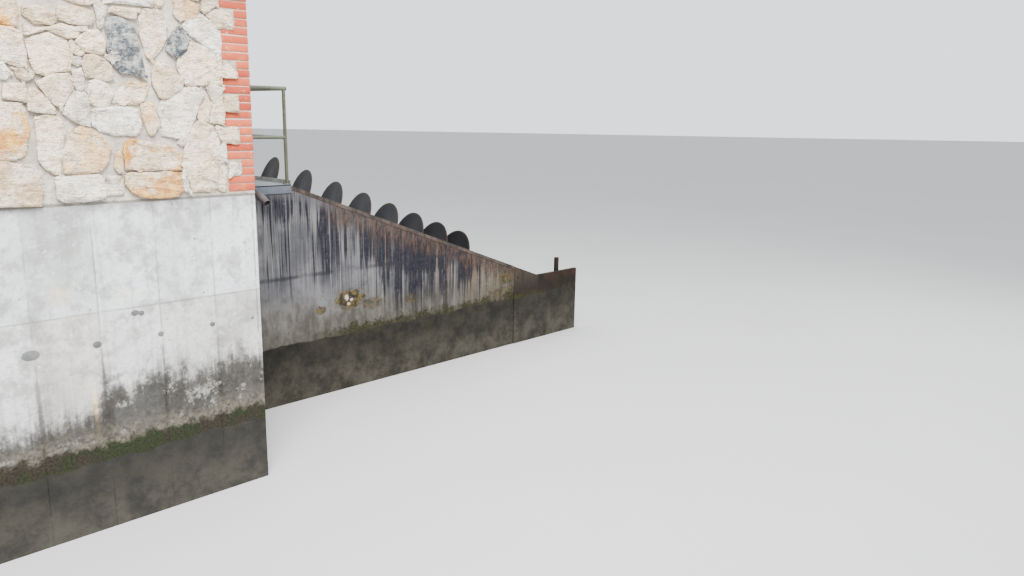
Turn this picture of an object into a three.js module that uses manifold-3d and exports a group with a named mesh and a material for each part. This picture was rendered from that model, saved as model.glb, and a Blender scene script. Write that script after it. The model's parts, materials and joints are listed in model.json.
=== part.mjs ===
// A small watermill: a stone mill house on a concrete base, and an Archimedes screw turbine in a sloping
// concrete channel beside it. Millimetres, +Z up.
//
// Every length below is taken from the downstream face of the house (X, downstream positive), from the
// upright plane of the screw's axis (Y, the near side of the house negative) and from the level underside
// of the walls (Z). The last lines move the whole mill.

import * as THREE from 'three';
import { mergeVertices } from 'three/addons/utils/BufferGeometryUtils.js';
import Module from 'manifold-3d';

const wasm = await Module();
wasm.setup();

// Levels
const tailWater = 650; // the river's level over the underside of the walls
const gap = 0.3; // joint between pieces that touch

// House
const houseLength = 5000;
const houseHalfWidth = 2916;
const baseWall = 300;
const baseTop = tailWater + 2300;
const floorThickness = 200;
const stoneWall = 400;
const eavesLevel = baseTop + 2650;
const roofPitch = 35 * Math.PI / 180;
const roofThickness = 110;
const eavesOverhang = 350;
const gableOverhang = 250;
const boardThickness = 25;
const boardHeight = 190;
const ridgeCapThickness = 4;
const ridgeCapLeg = 180;

// Channel
const channelHalfWidth = 1154;
const channelWall = 330;
const channelInside = channelHalfWidth - channelWall;
const channelTop = tailWater + 2190;
const slopeStart = 1456;
const slopeEnd = 6111;
const lowTop = tailWater + 460;
const concreteEnd = 5700;
const plateLap = 165;
const plateEnd = 7136;
const plateThickness = 12;
const plateFlange = 60;
const edgeLeg = 45;
const edgeThickness = 6;
const outletBed = 180;
const culvertWall = 200;
const culvertSlab = 250;

// Screw
const screwAngle = 21.05 * Math.PI / 180;
const screwPoint = [1605, 0, tailWater + 1746]; // a point of the axis: the first crest stands over it
const screwRadius = 800;
const crestSpacing = 527.5;
const starts = 3;
const lead = starts * crestSpacing;
const flightThickness = 10;
const tubeRadius = 400;
const tubeWall = 12;
const tubeStart = -285;
const tubeEnd = 3985;
const flightSeat = 0.5; // the flights' inner edge lies this far off the tube
const stepAngle = 10; // degrees between the faces of the tube and the steps of the flights
const flightFirst = 60; // degrees from the top of the first flight to its upper end
const flightLast = -900;
const journalRadius = 60;
const journalPast = 40; // how far a journal comes out behind its bearing
const discThickness = 25;
const shoulder = 85;
const shoulderLength = 40;
const bearingClearance = 0.6;

// Trough
const linerInside = 814;
const linerOutside = channelInside - gap;
const troughStart = -300;
const troughEnd = 3960;
const groovePast = 20; // the round groove runs on past the liner, so that the screw's end stays clear
const haunchDrop = 150; // the concrete beside the liner stops this far under the axis
const arcStep = 7.5;

// Bearings
const upperBearingAt = -560;
const lowerBearingAt = 4225;
const bearingRadius = 105;
const bearingLength = 140;
const bearingFootHalfWidth = 190;
const bearingFootLength = 150;
const bearingFootHeight = 45;
const underUpperBearing = 30; // from the underside of the bearing's drum to its beam
const underLowerBearing = 60; // and to its pier
const beamSize = 160;
const pierLength = 280;
const pierHalfWidth = 210;

// Deck and railing
const deckEnd = 1445;
const deckTop = tailWater + 2220;
const deckHalfWidth = channelHalfWidth + 8;
const fasciaStart = 1050;
const fasciaBottom = tailWater + 2110;
const fasciaThickness = 6;
const toeBoardHeight = 50;
const bearerWidth = 60;
const bearerHeight = 50;
const bearerPlaces = [360, 860, 1380];
const railTop = tailWater + 3385;
const railMiddle = tailWater + 2797;
const railRadius = 25;
const middleRailRadius = 21;
const postRadius = 22;
const postX = 1410;
const postY = 1125;
const basePlate = 90;
const basePlateHalfWidth = 37;
const basePlateThickness = 8;
const railPastPost = 12;

// Drain pipe and stub post
const pipeRadius = 47;
const pipeBore = 42;
const pipeStart = [996, -channelHalfWidth, tailWater + 2120];
const pipeEnd = [1015, -channelHalfWidth - 166, tailWater + 2016];
const pipeSides = 20;
const stubSize = 60;
const stubX = 6655;
const stubTop = tailWater + 690;

// Materials
function finish(color, roughness, metalness = 0) {
  return new THREE.MeshStandardMaterial({ color, roughness, metalness });
}

const concrete = finish(0xb4b5b2, 0.9);
const stainedConcrete = finish(0x77756f, 0.9);
const rubbleStone = finish(0xd3c6ab, 0.9);
const sheetMetal = finish(0x7b868c, 0.5, 0.6);
const rustySteel = finish(0x6b4a3a, 0.85, 0.4);
const darkSteel = finish(0x33363a, 0.5, 0.7);
const railPaint = finish(0x7c806c, 0.5, 0.3);
const boardWood = finish(0x6d5a47, 0.75);
const bearingIron = finish(0x3b4348, 0.6, 0.5);
const drainClay = finish(0x8f7f78, 0.7);

// Shapes

// A geometry whose shared corners are merged, with its faces pointing out.
function closed(geometry) {
  let shell = geometry.index ? geometry.toNonIndexed() : geometry.clone();
  for (const name of Object.keys(shell.attributes)) if (name !== 'position') shell.deleteAttribute(name);
  shell = mergeVertices(shell, 1e-3);
  const corners = shell.attributes.position;
  const index = shell.index.array;
  const [a, b, c] = [new THREE.Vector3(), new THREE.Vector3(), new THREE.Vector3()];
  const kept = [];
  let volume = 0;
  for (let i = 0; i < index.length; i += 3) {
    const face = [index[i], index[i + 1], index[i + 2]];
    if (new Set(face).size < 3) continue;
    kept.push(...face);
    a.fromBufferAttribute(corners, face[0]);
    b.fromBufferAttribute(corners, face[1]);
    c.fromBufferAttribute(corners, face[2]);
    volume += a.dot(b.cross(c));
  }
  if (volume < 0) kept.reverse();
  shell.setIndex(kept);
  return shell;
}

function toSolid(geometry) {
  const shell = closed(geometry);
  return new wasm.Manifold(new wasm.Mesh({
    numProp: 3,
    vertProperties: new Float32Array(shell.attributes.position.array),
    triVerts: new Uint32Array(shell.index.array),
  }));
}

function toGeometry(solid) {
  const mesh = solid.getMesh();
  const geometry = new THREE.BufferGeometry();
  geometry.setAttribute('position', new THREE.BufferAttribute(mesh.vertProperties.slice(), 3));
  geometry.setIndex(new THREE.BufferAttribute(mesh.triVerts.slice(), 1));
  return geometry;
}

function join(...geometries) {
  return toGeometry(geometries.map(toSolid).reduce((sum, solid) => sum.add(solid)));
}

function cut(body, ...tools) {
  return toGeometry(tools.map(toSolid).reduce((rest, tool) => rest.subtract(tool), toSolid(body)));
}

function block([x0, x1], [y0, y1], [z0, z1]) {
  const geometry = new THREE.BoxGeometry(x1 - x0, y1 - y0, z1 - z0);
  return geometry.translate((x0 + x1) / 2, (y0 + y1) / 2, (z0 + z1) / 2);
}

const outline = (points) => new THREE.Shape(points.map(([u, v]) => new THREE.Vector2(u, v)));

function extruded(shape, depth) {
  return new THREE.ExtrudeGeometry(shape, { depth, bevelEnabled: false });
}

// A side view, drawn in X and Z, given its width from y0 to y1.
function sideProfile(points, y0, y1) {
  return extruded(outline(points), y1 - y0).rotateX(Math.PI / 2).translate(0, y1, 0);
}

// An end view, drawn in Y and Z, given its length from x0 to x1.
function endProfile(shape, x0, x1) {
  const turn = new THREE.Matrix4().makeBasis(
    new THREE.Vector3(0, 1, 0), new THREE.Vector3(0, 0, 1), new THREE.Vector3(1, 0, 0));
  return extruded(shape, x1 - x0).applyMatrix4(turn).translate(x0, 0, 0);
}

const mirrorNear = (points) => points.map(([y, z]) => [-y, z]);

// A round bar from one point to another.
function bar(from, to, radius, sides = 12) {
  const start = new THREE.Vector3(...from);
  const way = new THREE.Vector3(...to).sub(start);
  const length = way.length();
  const geometry = new THREE.CylinderGeometry(radius, radius, length, sides).translate(0, length / 2, 0);
  const turn = new THREE.Quaternion().setFromUnitVectors(new THREE.Vector3(0, 1, 0), way.normalize());
  return geometry.applyQuaternion(turn).translate(start.x, start.y, start.z);
}

// A turned piece: the profile's points are [radius, place along the axis], and the axis becomes Z.
function turned(points, sides) {
  const profile = [...points, points[0]].map(([radius, along]) => new THREE.Vector2(radius, along));
  return new THREE.LatheGeometry(profile, sides).rotateX(Math.PI / 2);
}

// The screw's own frame: Z runs down its axis, X points square to it and up, Y towards the near side.
const axisWay = new THREE.Vector3(Math.cos(screwAngle), 0, -Math.sin(screwAngle));
const upWay = new THREE.Vector3(Math.sin(screwAngle), 0, Math.cos(screwAngle));
const screwFrame = new THREE.Matrix4().makeBasis(upWay, new THREE.Vector3(0, -1, 0), axisWay)
  .setPosition(...screwPoint);
const alongScrew = (geometry) => geometry.applyMatrix4(screwFrame);

// The point at a distance along the axis and a height square to it, as X and Z.
function screwXZ(along, up) {
  const point = new THREE.Vector3(up, 0, along).applyMatrix4(screwFrame);
  return [point.x, point.z];
}

// Scene graph

const mill = new THREE.Group();
const house = new THREE.Group();
const channel = new THREE.Group();
const deck = new THREE.Group();
const screw = new THREE.Group();
screwFrame.decompose(screw.position, screw.quaternion, screw.scale);
mill.add(house, channel, deck, screw);

function piece(group, name, geometry, material) {
  const mesh = new THREE.Mesh(closed(geometry), material);
  mesh.name = name;
  group.add(mesh);
}

// House base: four walls round a culvert that leads the water to the screw

// The water reaches the screw level with the lowest line of the trough's upper end.
const culvertFloor = screwXZ(troughStart, -channelInside)[1];

function endWallWithCulvert() {
  const side = houseHalfWidth - baseWall - gap;
  const wall = outline([[-side, 0], [side, 0], [side, baseTop], [-side, baseTop]]);
  const head = baseTop - floorThickness;
  const half = channelInside;
  const hole = [[-half, culvertFloor], [-half, head], [half, head], [half, culvertFloor]];
  wall.holes.push(new THREE.Path(hole.map(([y, z]) => new THREE.Vector2(y, z))));
  return wall;
}

function buildBase() {
  const face = houseHalfWidth - baseWall;
  piece(house, 'base_wall_near', block([-houseLength, 0], [-houseHalfWidth, -face], [0, baseTop]), concrete);
  piece(house, 'base_wall_far', block([-houseLength, 0], [face, houseHalfWidth], [0, baseTop]), concrete);
  piece(house, 'base_wall_downstream', endProfile(endWallWithCulvert(), -baseWall, 0), concrete);
  piece(house, 'base_wall_upstream',
    endProfile(endWallWithCulvert(), -houseLength, -houseLength + baseWall), concrete);

  const inner = channelInside;
  const outer = channelInside + culvertWall;
  const roofLevel = baseTop - floorThickness - gap;
  const slabUnder = culvertFloor - culvertSlab;
  const section = outline([[-outer, 0], [-inner, 0], [-inner, slabUnder], [inner, slabUnder], [inner, 0],
    [outer, 0], [outer, roofLevel], [inner, roofLevel], [inner, culvertFloor], [-inner, culvertFloor],
    [-inner, roofLevel], [-outer, roofLevel]]);
  const inside = [-houseLength + baseWall + gap, -baseWall - gap];
  piece(house, 'culvert', endProfile(section, ...inside), concrete);
  const floorHalf = houseHalfWidth - baseWall - gap;
  const floorRange = [baseTop - floorThickness, baseTop];
  piece(house, 'house_floor', block(inside, [-floorHalf, floorHalf], floorRange), concrete);
}

// Stone storey: the side walls carry the eaves, the gables carry the ridge

const roofRise = (y) => (houseHalfWidth - Math.abs(y)) * Math.tan(roofPitch);

function buildStorey() {
  const bottom = baseTop + gap;
  const inner = houseHalfWidth - stoneWall;
  const farSection = [[inner, bottom], [houseHalfWidth, bottom], [houseHalfWidth, eavesLevel],
    [inner, eavesLevel + roofRise(inner)]];
  piece(house, 'stone_wall_far', endProfile(outline(farSection), -houseLength, 0), rubbleStone);
  piece(house, 'stone_wall_near', endProfile(outline(mirrorNear(farSection)), -houseLength, 0), rubbleStone);

  const side = inner - gap;
  const gable = outline([[-side, bottom], [side, bottom], [side, eavesLevel + roofRise(side)],
    [0, eavesLevel + roofRise(0)], [-side, eavesLevel + roofRise(side)]]);
  piece(house, 'gable_downstream', endProfile(gable, -stoneWall, 0), rubbleStone);
  piece(house, 'gable_upstream', endProfile(gable, -houseLength, -houseLength + stoneWall), rubbleStone);
}

// Roof: two slabs that meet over the ridge, edged with boards

function buildRoof() {
  const slope = Math.tan(roofPitch);
  const upright = roofThickness / Math.cos(roofPitch);
  const under = (y) => eavesLevel + roofRise(y) + gap / Math.cos(roofPitch);
  const edge = houseHalfWidth + eavesOverhang;
  const ends = [-houseLength - gableOverhang, gableOverhang];
  const farSlab = [[gap / 2, under(gap / 2)], [edge, under(houseHalfWidth) - eavesOverhang * slope],
    [edge, under(houseHalfWidth) - eavesOverhang * slope + upright], [gap / 2, under(gap / 2) + upright]];
  piece(house, 'roof_slope_far', endProfile(outline(farSlab), ...ends), sheetMetal);
  piece(house, 'roof_slope_near', endProfile(outline(mirrorNear(farSlab)), ...ends), sheetMetal);

  const ridge = under(0) + upright + gap;
  const leg = ridgeCapLeg * Math.cos(roofPitch);
  const capRise = ridgeCapThickness / Math.cos(roofPitch);
  const capEdge = ridge - leg * slope;
  const cap = [[0, ridge], [leg, capEdge], [leg, capEdge + capRise], [0, ridge + capRise],
    [-leg, capEdge + capRise], [-leg, capEdge]];
  piece(house, 'ridge_cap', endProfile(outline(cap), ...ends), sheetMetal);

  const eavesTop = under(houseHalfWidth) - eavesOverhang * slope + upright;
  const eaves = [edge + gap, edge + gap + boardThickness];
  const boardRange = [eavesTop - boardHeight, eavesTop];
  piece(house, 'eaves_board_far', block(ends, eaves, boardRange), boardWood);
  piece(house, 'eaves_board_near', block(ends, [-eaves[1], -eaves[0]], boardRange), boardWood);

  const drop = boardHeight / Math.cos(roofPitch);
  const top = (y) => under(y) + upright;
  const edgeTop = top(houseHalfWidth) - eavesOverhang * slope;
  const barge = outline([[0, top(0)], [-edge, edgeTop], [-edge, edgeTop - drop], [0, top(0) - drop],
    [edge, edgeTop - drop], [edge, edgeTop]]);
  const reach = gap + boardThickness;
  piece(house, 'bargeboard_downstream', endProfile(barge, ends[1] + gap, ends[1] + reach), boardWood);
  piece(house, 'bargeboard_upstream', endProfile(barge, ends[0] - reach, ends[0] - gap), boardWood);
}

// Channel walls, with the steel angle on the outer edge of each top

const wallTopAt = (x) => {
  if (x <= slopeStart) return channelTop;
  if (x >= slopeEnd) return lowTop;
  return channelTop - (x - slopeStart) * (channelTop - lowTop) / (slopeEnd - slopeStart);
};

function buildChannelWalls() {
  const endTop = wallTopAt(concreteEnd);
  const profile = [[gap, 0], [concreteEnd, 0], [concreteEnd, endTop],
    [slopeStart, channelTop], [gap, channelTop]];
  const inside = channelInside;
  const outside = channelHalfWidth;
  piece(channel, 'channel_wall_near', sideProfile(profile, -outside, -inside), stainedConcrete);
  piece(channel, 'channel_wall_far', sideProfile(profile, inside, outside), stainedConcrete);

  const rise = gap / Math.cos(screwAngle);
  const band = (x0, x1, low, high) => [[x0, wallTopAt(x0) + low], [x1, wallTopAt(x1) + low],
    [x1, wallTopAt(x1) + high], [x0, wallTopAt(x0) + high]];
  const from = slopeStart;
  const to = { near: concreteEnd - plateLap - gap, far: concreteEnd };
  for (const [side, sign] of [['near', -1], ['far', 1]]) {
    const y = [channelHalfWidth - edgeLeg, channelHalfWidth + gap, channelHalfWidth + gap + edgeThickness];
    const span = (a, b) => (sign < 0 ? [-b, -a] : [a, b]);
    const flat = sideProfile(band(from, to[side], rise, rise + edgeThickness), ...span(y[0], y[2]));
    const leg = sideProfile(band(from, to[side], -edgeLeg, rise + edgeThickness), ...span(y[1], y[2]));
    piece(channel, `edge_angle_${side}`, join(flat, leg), rustySteel);
  }
}

// Steel plate that carries the near wall on into the river, with a flange along its top and down its end

function buildEndPlate() {
  const start = concreteEnd - plateLap;
  const face = -channelHalfWidth - gap;
  const outer = face - plateThickness;
  const plate = sideProfile([[start, 0], [plateEnd, 0], [plateEnd, lowTop], [slopeEnd, lowTop],
    [start, wallTopAt(start)]], outer, face);
  const behind = concreteEnd + gap;
  const flangeBack = face + edgeLeg;
  const low = lowTop - edgeThickness;
  const behindTop = wallTopAt(behind);
  const topFlange = sideProfile([[behind, behindTop - edgeThickness], [slopeEnd, low], [plateEnd, low],
    [plateEnd, lowTop], [slopeEnd, lowTop], [behind, behindTop]], outer, flangeBack);
  const endFlange = block([plateEnd - plateThickness, plateEnd], [outer, face + plateFlange], [0, lowTop]);
  piece(channel, 'end_plate_near', join(plate, topFlange, endFlange), rustySteel);

  const back = face + gap;
  const slot = edgeLeg + gap;
  const along = [stubX, stubX + stubSize];
  const packing = block(along, [back, back + stubSize], [0, low - gap]);
  const post = block(along, [face + slot, face + slot + stubSize], [0, stubTop]);
  piece(channel, 'stub_post', join(packing, post), rustySteel);
}

// Half of a ring, under the screw's axis, from one radius to another; its corners lie every arcStep degrees
function halfRing(inner, outer, start, end) {
  const arc = (radius, back) => {
    const corners = [];
    for (let turn = 0; turn <= 180; turn += arcStep) {
      const angle = (90 + (back ? 180 - turn : turn)) * Math.PI / 180;
      corners.push([radius * Math.cos(angle), radius * Math.sin(angle)]);
    }
    return corners;
  };
  const points = inner > 0 ? [...arc(outer, false), ...arc(inner, true)] : arc(outer, false);
  return alongScrew(extruded(outline(points), end - start).translate(0, 0, start));
}

function buildTrough() {
  const [headX, headZ] = screwXZ(troughStart, -channelInside);
  const profile = [[gap, 0], [concreteEnd, 0], [concreteEnd, outletBed],
    [screwXZ(troughEnd, -channelInside)[0], outletBed], screwXZ(troughEnd, -haunchDrop),
    screwXZ(troughStart, -haunchDrop), [headX, headZ], [gap, culvertFloor]];
  const half = channelInside - gap;
  const groove = halfRing(0, channelInside, troughStart - 1, troughEnd + groovePast);
  piece(channel, 'channel_bed', cut(sideProfile(profile, -half, half), groove), stainedConcrete);
  piece(channel, 'trough_liner', halfRing(linerInside, linerOutside, troughStart, troughEnd), darkSteel);
}

// Bearings: a cross beam carries the upper one, a pier the lower one

function bearing(along, footLevel) {
  const [x, z] = screwXZ(along, 0);
  const bore = journalRadius + bearingClearance;
  const boreCorner = bore / Math.cos(Math.PI * stepAngle / 360);
  const drum = alongScrew(turned([[0, along - bearingLength / 2], [bearingRadius, along - bearingLength / 2],
    [bearingRadius, along + bearingLength / 2], [0, along + bearingLength / 2]], 360 / stepAngle));
  const foot = block([x - bearingFootLength / 2, x + bearingFootLength / 2],
    [-bearingFootHalfWidth, bearingFootHalfWidth], [footLevel + gap, footLevel + bearingFootHeight]);
  const neck = block([x - bearingFootLength / 2, x + bearingFootLength / 2],
    [-bearingRadius, bearingRadius], [footLevel + gap, z - bearingRadius / 2]);
  const hole = alongScrew(turned([[0, along - bearingLength], [boreCorner, along - bearingLength],
    [boreCorner, along + bearingLength], [0, along + bearingLength]], 360 / stepAngle));
  return cut(join(drum, foot, neck), hole);
}

function buildBearings() {
  const half = channelInside - gap;
  const [upperX, upperZ] = screwXZ(upperBearingAt, 0);
  const beamTop = Math.round(upperZ - bearingRadius - underUpperBearing);
  piece(channel, 'bearing_beam', block([upperX - beamSize / 2, upperX + beamSize / 2], [-half, half],
    [beamTop - beamSize, beamTop]), rustySteel);
  piece(channel, 'upper_bearing', bearing(upperBearingAt, beamTop), bearingIron);

  const [lowerX, lowerZ] = screwXZ(lowerBearingAt, 0);
  const pierTop = Math.round(lowerZ - bearingRadius - underLowerBearing);
  piece(channel, 'bearing_pier', block([lowerX - pierLength / 2, lowerX + pierLength / 2],
    [-pierHalfWidth, pierHalfWidth], [outletBed + gap, pierTop]), stainedConcrete);
  piece(channel, 'lower_bearing', bearing(lowerBearingAt, pierTop), bearingIron);
}

// Deck: sheet metal on bearers over the channel's head, edged with plates

function buildDeck() {
  const under = channelTop + gap;
  const across = [-deckHalfWidth, deckHalfWidth];
  piece(deck, 'deck_plate', block([gap, deckEnd], across, [under, deckTop]), sheetMetal);
  const half = channelInside - gap;
  bearerPlaces.forEach((x, i) => piece(deck, `deck_bearer_${i + 1}`,
    block([x, x + bearerWidth], [-half, half], [under - gap - bearerHeight, under - gap]), rustySteel));
  const face = deckHalfWidth + gap;
  for (const [side, sign] of [['near', -1], ['far', 1]]) {
    const range = [sign * face, sign * (face + fasciaThickness)].sort((a, b) => a - b);
    const plate = block([fasciaStart, deckEnd], range, [fasciaBottom, deckTop]);
    piece(deck, `deck_fascia_${side}`, plate, sheetMetal);
  }
  const toeRange = [deckTop + gap, deckTop + toeBoardHeight];
  piece(deck, 'toe_board', block([deckEnd - fasciaThickness, deckEnd], across, toeRange), sheetMetal);
}

// Railing: side runs from the house to the corner posts, and an end run between them

function buildRailing() {
  const foot = deckTop + gap;
  const standing = (x, y) => [
    bar([x, y, foot], [x, y, railTop - railRadius / 2], postRadius),
    block([x - basePlate / 2, x + basePlate / 4], [y - basePlateHalfWidth, y + basePlateHalfWidth],
      [foot, foot + basePlateThickness])];
  for (const [side, sign] of [['near', -1], ['far', 1]]) {
    const y = sign * postY;
    const rails = [bar([gap, y, railTop], [postX + postRadius + railPastPost, y, railTop], railRadius),
      bar([gap, y, railMiddle], [postX, y, railMiddle], middleRailRadius)];
    piece(deck, `railing_${side}`, join(...rails, ...standing(postX, y)), railPaint);
  }
  const reach = [postY - railRadius - gap, postY - postRadius - gap];
  const endRails = [bar([postX, -reach[0], railTop], [postX, reach[0], railTop], railRadius),
    bar([postX, -reach[1], railMiddle], [postX, reach[1], railMiddle], middleRailRadius)];
  piece(deck, 'railing_end', join(...endRails, ...standing(postX, 0)), railPaint);
}

// Drain pipe: it leaves the near channel wall under the deck and slants down

function buildDrain() {
  const from = new THREE.Vector3(...pipeStart);
  const to = new THREE.Vector3(...pipeEnd);
  const way = to.clone().sub(from);
  const behind = from.clone().sub(way);
  const past = to.clone().add(way);
  const wallSide = block([gap, slopeStart], [-channelHalfWidth - gap, 0], [0, baseTop]);
  const bored = cut(bar(behind.toArray(), to.toArray(), pipeRadius, pipeSides),
    bar(from.toArray(), past.toArray(), pipeBore, pipeSides), wallSide);
  piece(channel, 'drain_pipe', bored, drainClay);
}

// Screw: a closed tube with a journal at each end, and three flights wound round it

function flight(number) {
  const inner = tubeRadius + flightSeat;
  const corners = [];
  const faces = [];
  const sections = (flightFirst - flightLast) / stepAngle;
  for (let i = 0; i <= sections; i++) {
    const fromTop = flightFirst - i * stepAngle;
    const along = -fromTop / 360 * lead;
    const angle = (fromTop + 360 / starts * number) * Math.PI / 180;
    for (const [radius, side] of [[inner, -1], [screwRadius, -1], [screwRadius, 1], [inner, 1]]) {
      corners.push(radius * Math.cos(angle), radius * Math.sin(angle), along + side * flightThickness / 2);
    }
    if (i === sections) break;
    for (let edge = 0; edge < 4; edge++) {
      const [a, b] = [i * 4 + edge, i * 4 + (edge + 1) % 4];
      faces.push(a, b, b + 4, a, b + 4, a + 4);
    }
  }
  const last = sections * 4;
  faces.push(0, 2, 1, 0, 3, 2, last, last + 1, last + 2, last, last + 2, last + 3);
  const geometry = new THREE.BufferGeometry();
  geometry.setAttribute('position', new THREE.Float32BufferAttribute(corners, 3));
  geometry.setIndex(faces);
  return geometry;
}

function buildScrew() {
  const sides = 360 / stepAngle;
  const bore = tubeRadius - tubeWall;
  piece(screw, 'screw_tube', turned([[bore, tubeStart], [tubeRadius, tubeStart], [tubeRadius, tubeEnd],
    [bore, tubeEnd]], sides), darkSteel);
  const disc = bore - gap;
  const journal = (face, outward, end) => {
    const back = face - outward * discThickness;
    const step = face + outward * shoulderLength;
    return turned([[0, back], [disc, back], [disc, face], [shoulder, face], [shoulder, step],
      [journalRadius, step], [journalRadius, end], [0, end]], sides);
  };
  const past = bearingLength / 2 + journalPast;
  piece(screw, 'upper_journal', journal(tubeStart, -1, upperBearingAt - past), darkSteel);
  piece(screw, 'lower_journal', journal(tubeEnd, 1, lowerBearingAt + past), darkSteel);
  for (let number = 0; number < starts; number++) {
    piece(screw, `flight_${number + 1}`, flight(number), darkSteel);
  }
}

buildBase();
buildStorey();
buildRoof();
buildChannelWalls();
buildEndPlate();
buildTrough();
buildBearings();
buildDeck();
buildRailing();
buildDrain();
buildScrew();

// The origin goes under the middle of the mill, between the upstream bargeboard and the end of the plate.
const upstreamReach = -houseLength - gableOverhang - gap - boardThickness;
mill.position.x = -(upstreamReach + plateEnd) / 2;

export default mill;
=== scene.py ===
# A small watermill with a screw turbine: the finish of every surface and the fine pieces, built over the
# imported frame. Metres, Z up, X downstream, and the near side of the mill at negative Y.
import json
import math
import random

import bpy
import numpy as np
from mathutils import Matrix, Vector


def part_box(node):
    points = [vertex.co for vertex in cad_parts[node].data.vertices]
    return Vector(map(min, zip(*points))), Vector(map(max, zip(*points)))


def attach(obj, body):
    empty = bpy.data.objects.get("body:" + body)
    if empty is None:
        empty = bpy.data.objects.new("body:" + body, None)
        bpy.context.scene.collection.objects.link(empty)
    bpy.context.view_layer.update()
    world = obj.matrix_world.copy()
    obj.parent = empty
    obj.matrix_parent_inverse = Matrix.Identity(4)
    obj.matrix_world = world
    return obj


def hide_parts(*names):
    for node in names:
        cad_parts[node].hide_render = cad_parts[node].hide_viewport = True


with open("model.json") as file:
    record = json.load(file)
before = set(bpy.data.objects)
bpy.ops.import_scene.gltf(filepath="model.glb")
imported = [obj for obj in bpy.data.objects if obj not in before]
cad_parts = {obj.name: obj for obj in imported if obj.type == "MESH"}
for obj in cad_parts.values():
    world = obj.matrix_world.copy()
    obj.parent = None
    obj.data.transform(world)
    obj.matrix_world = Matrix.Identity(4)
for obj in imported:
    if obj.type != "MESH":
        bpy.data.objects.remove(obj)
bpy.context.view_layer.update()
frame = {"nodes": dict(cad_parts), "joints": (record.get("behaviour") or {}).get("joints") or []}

# Places taken from the frame
baseLow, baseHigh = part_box('base_wall_near')
wallLow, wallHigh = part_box('channel_wall_near')
house = {'back': baseLow.x, 'front': baseHigh.x, 'half': -baseLow.y, 'base': baseHigh.z, 'eaves': 5.6,
         'ridge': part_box('gable_downstream')[1].z}
house['pitch'] = math.atan((house['ridge'] - house['eaves']) / house['half'])
channel = {'half': -wallLow.y, 'top': wallHigh.z}
slope = {'start': 0.52565, 'fall': 0.37164}  # where the channel's top starts to fall, and by how much a metre
waterLine = 0.79  # the middle of the stained band on the channel
screwAxis = {'point': Vector(frame['joints'][0]['pos_m']), 'way': Vector(frame['joints'][0]['axis'])}

# Each wall of the house: its place and turn, and its two ends as seen from outside
back, front, half = house['back'], house['front'], house['half']
walls = {'near': ((0, -half, 0), 0.0, back, front), 'far': ((0, half, 0), math.pi, -front, -back),
         'downstream': ((front, 0, 0), math.pi / 2, -half, half),
         'upstream': ((back, 0, 0), -math.pi / 2, -half, half)}


# Modelling helpers

def setMode(mode):
    bpy.ops.object.mode_set(mode=mode)


def selectMesh():
    bpy.ops.mesh.select_all(action='SELECT')


def deselectAll():
    if bpy.context.object and bpy.context.object.mode == 'EDIT':
        setMode('OBJECT')
    bpy.ops.object.select_all(action='DESELECT')


def pick(piece):
    deselectAll()
    piece.select_set(True)
    bpy.context.view_layer.objects.active = piece


def openPiece(name):  # an empty mesh in edit mode, and every primitive added after this goes into it
    deselectAll()
    bpy.ops.mesh.primitive_plane_add(size=0.01)
    piece = bpy.context.object
    piece.name = piece.data.name = name
    setMode('EDIT')
    bpy.ops.mesh.delete(type='VERT')
    return piece


def addBlock(low, high, bevel=0.0, segments=2):
    low, high = Vector(low), Vector(high)
    bpy.ops.mesh.primitive_cube_add(size=1, location=(low + high) / 2, scale=high - low)
    if bevel:
        bpy.ops.mesh.bevel(offset=bevel, segments=segments, affect='EDGES')


def addTube(start, end, radius, sides=32):
    start, end = Vector(start), Vector(end)
    turn = (end - start).to_track_quat('Z', 'Y').to_euler()
    bpy.ops.mesh.primitive_cylinder_add(vertices=sides, radius=radius, depth=(end - start).length,
                                        location=(start + end) / 2, rotation=turn)


# A hexagon head on its washer, standing on a face that looks along way
def addBolt(place, way, size):
    place, way = Vector(place), Vector(way)
    addTube(place - way * size * 0.3, place + way * size * 0.22, size * 1.15, 16)
    addTube(place, place + way * size * 0.85, size * 0.85, 6)


def addRing(place, way, radius, thickness, sides=32):  # a bead of weld
    turn = Vector(way).to_track_quat('Z', 'Y').to_euler()
    bpy.ops.mesh.primitive_torus_add(major_radius=radius, minor_radius=thickness, major_segments=sides,
                                     minor_segments=8, location=place, rotation=turn)


def useModifier(piece, kind, **settings):
    bpy.context.view_layer.objects.active = piece
    modifier = piece.modifiers.new(kind.title(), kind)
    for key, value in settings.items():
        setattr(modifier, key, value)
    bpy.ops.object.modifier_apply(modifier=modifier.name)


def roughen(piece, label, size, strength, direction='RGB_TO_XYZ', kind='CLOUDS'):
    texture = bpy.data.textures.new(label, kind)
    if kind == 'CLOUDS':
        texture.cloud_type = 'COLOR'
    texture.noise_scale = size
    useModifier(piece, 'DISPLACE', texture=texture, texture_coords='LOCAL', direction=direction,
                strength=strength, mid_level=0.5)


def joinPieces(name, parts):
    deselectAll()
    for part in parts:
        part.select_set(True)
    bpy.context.view_layer.objects.active = parts[0]
    bpy.ops.object.join()
    joined = bpy.context.object
    joined.name = joined.data.name = name
    return joined


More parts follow.
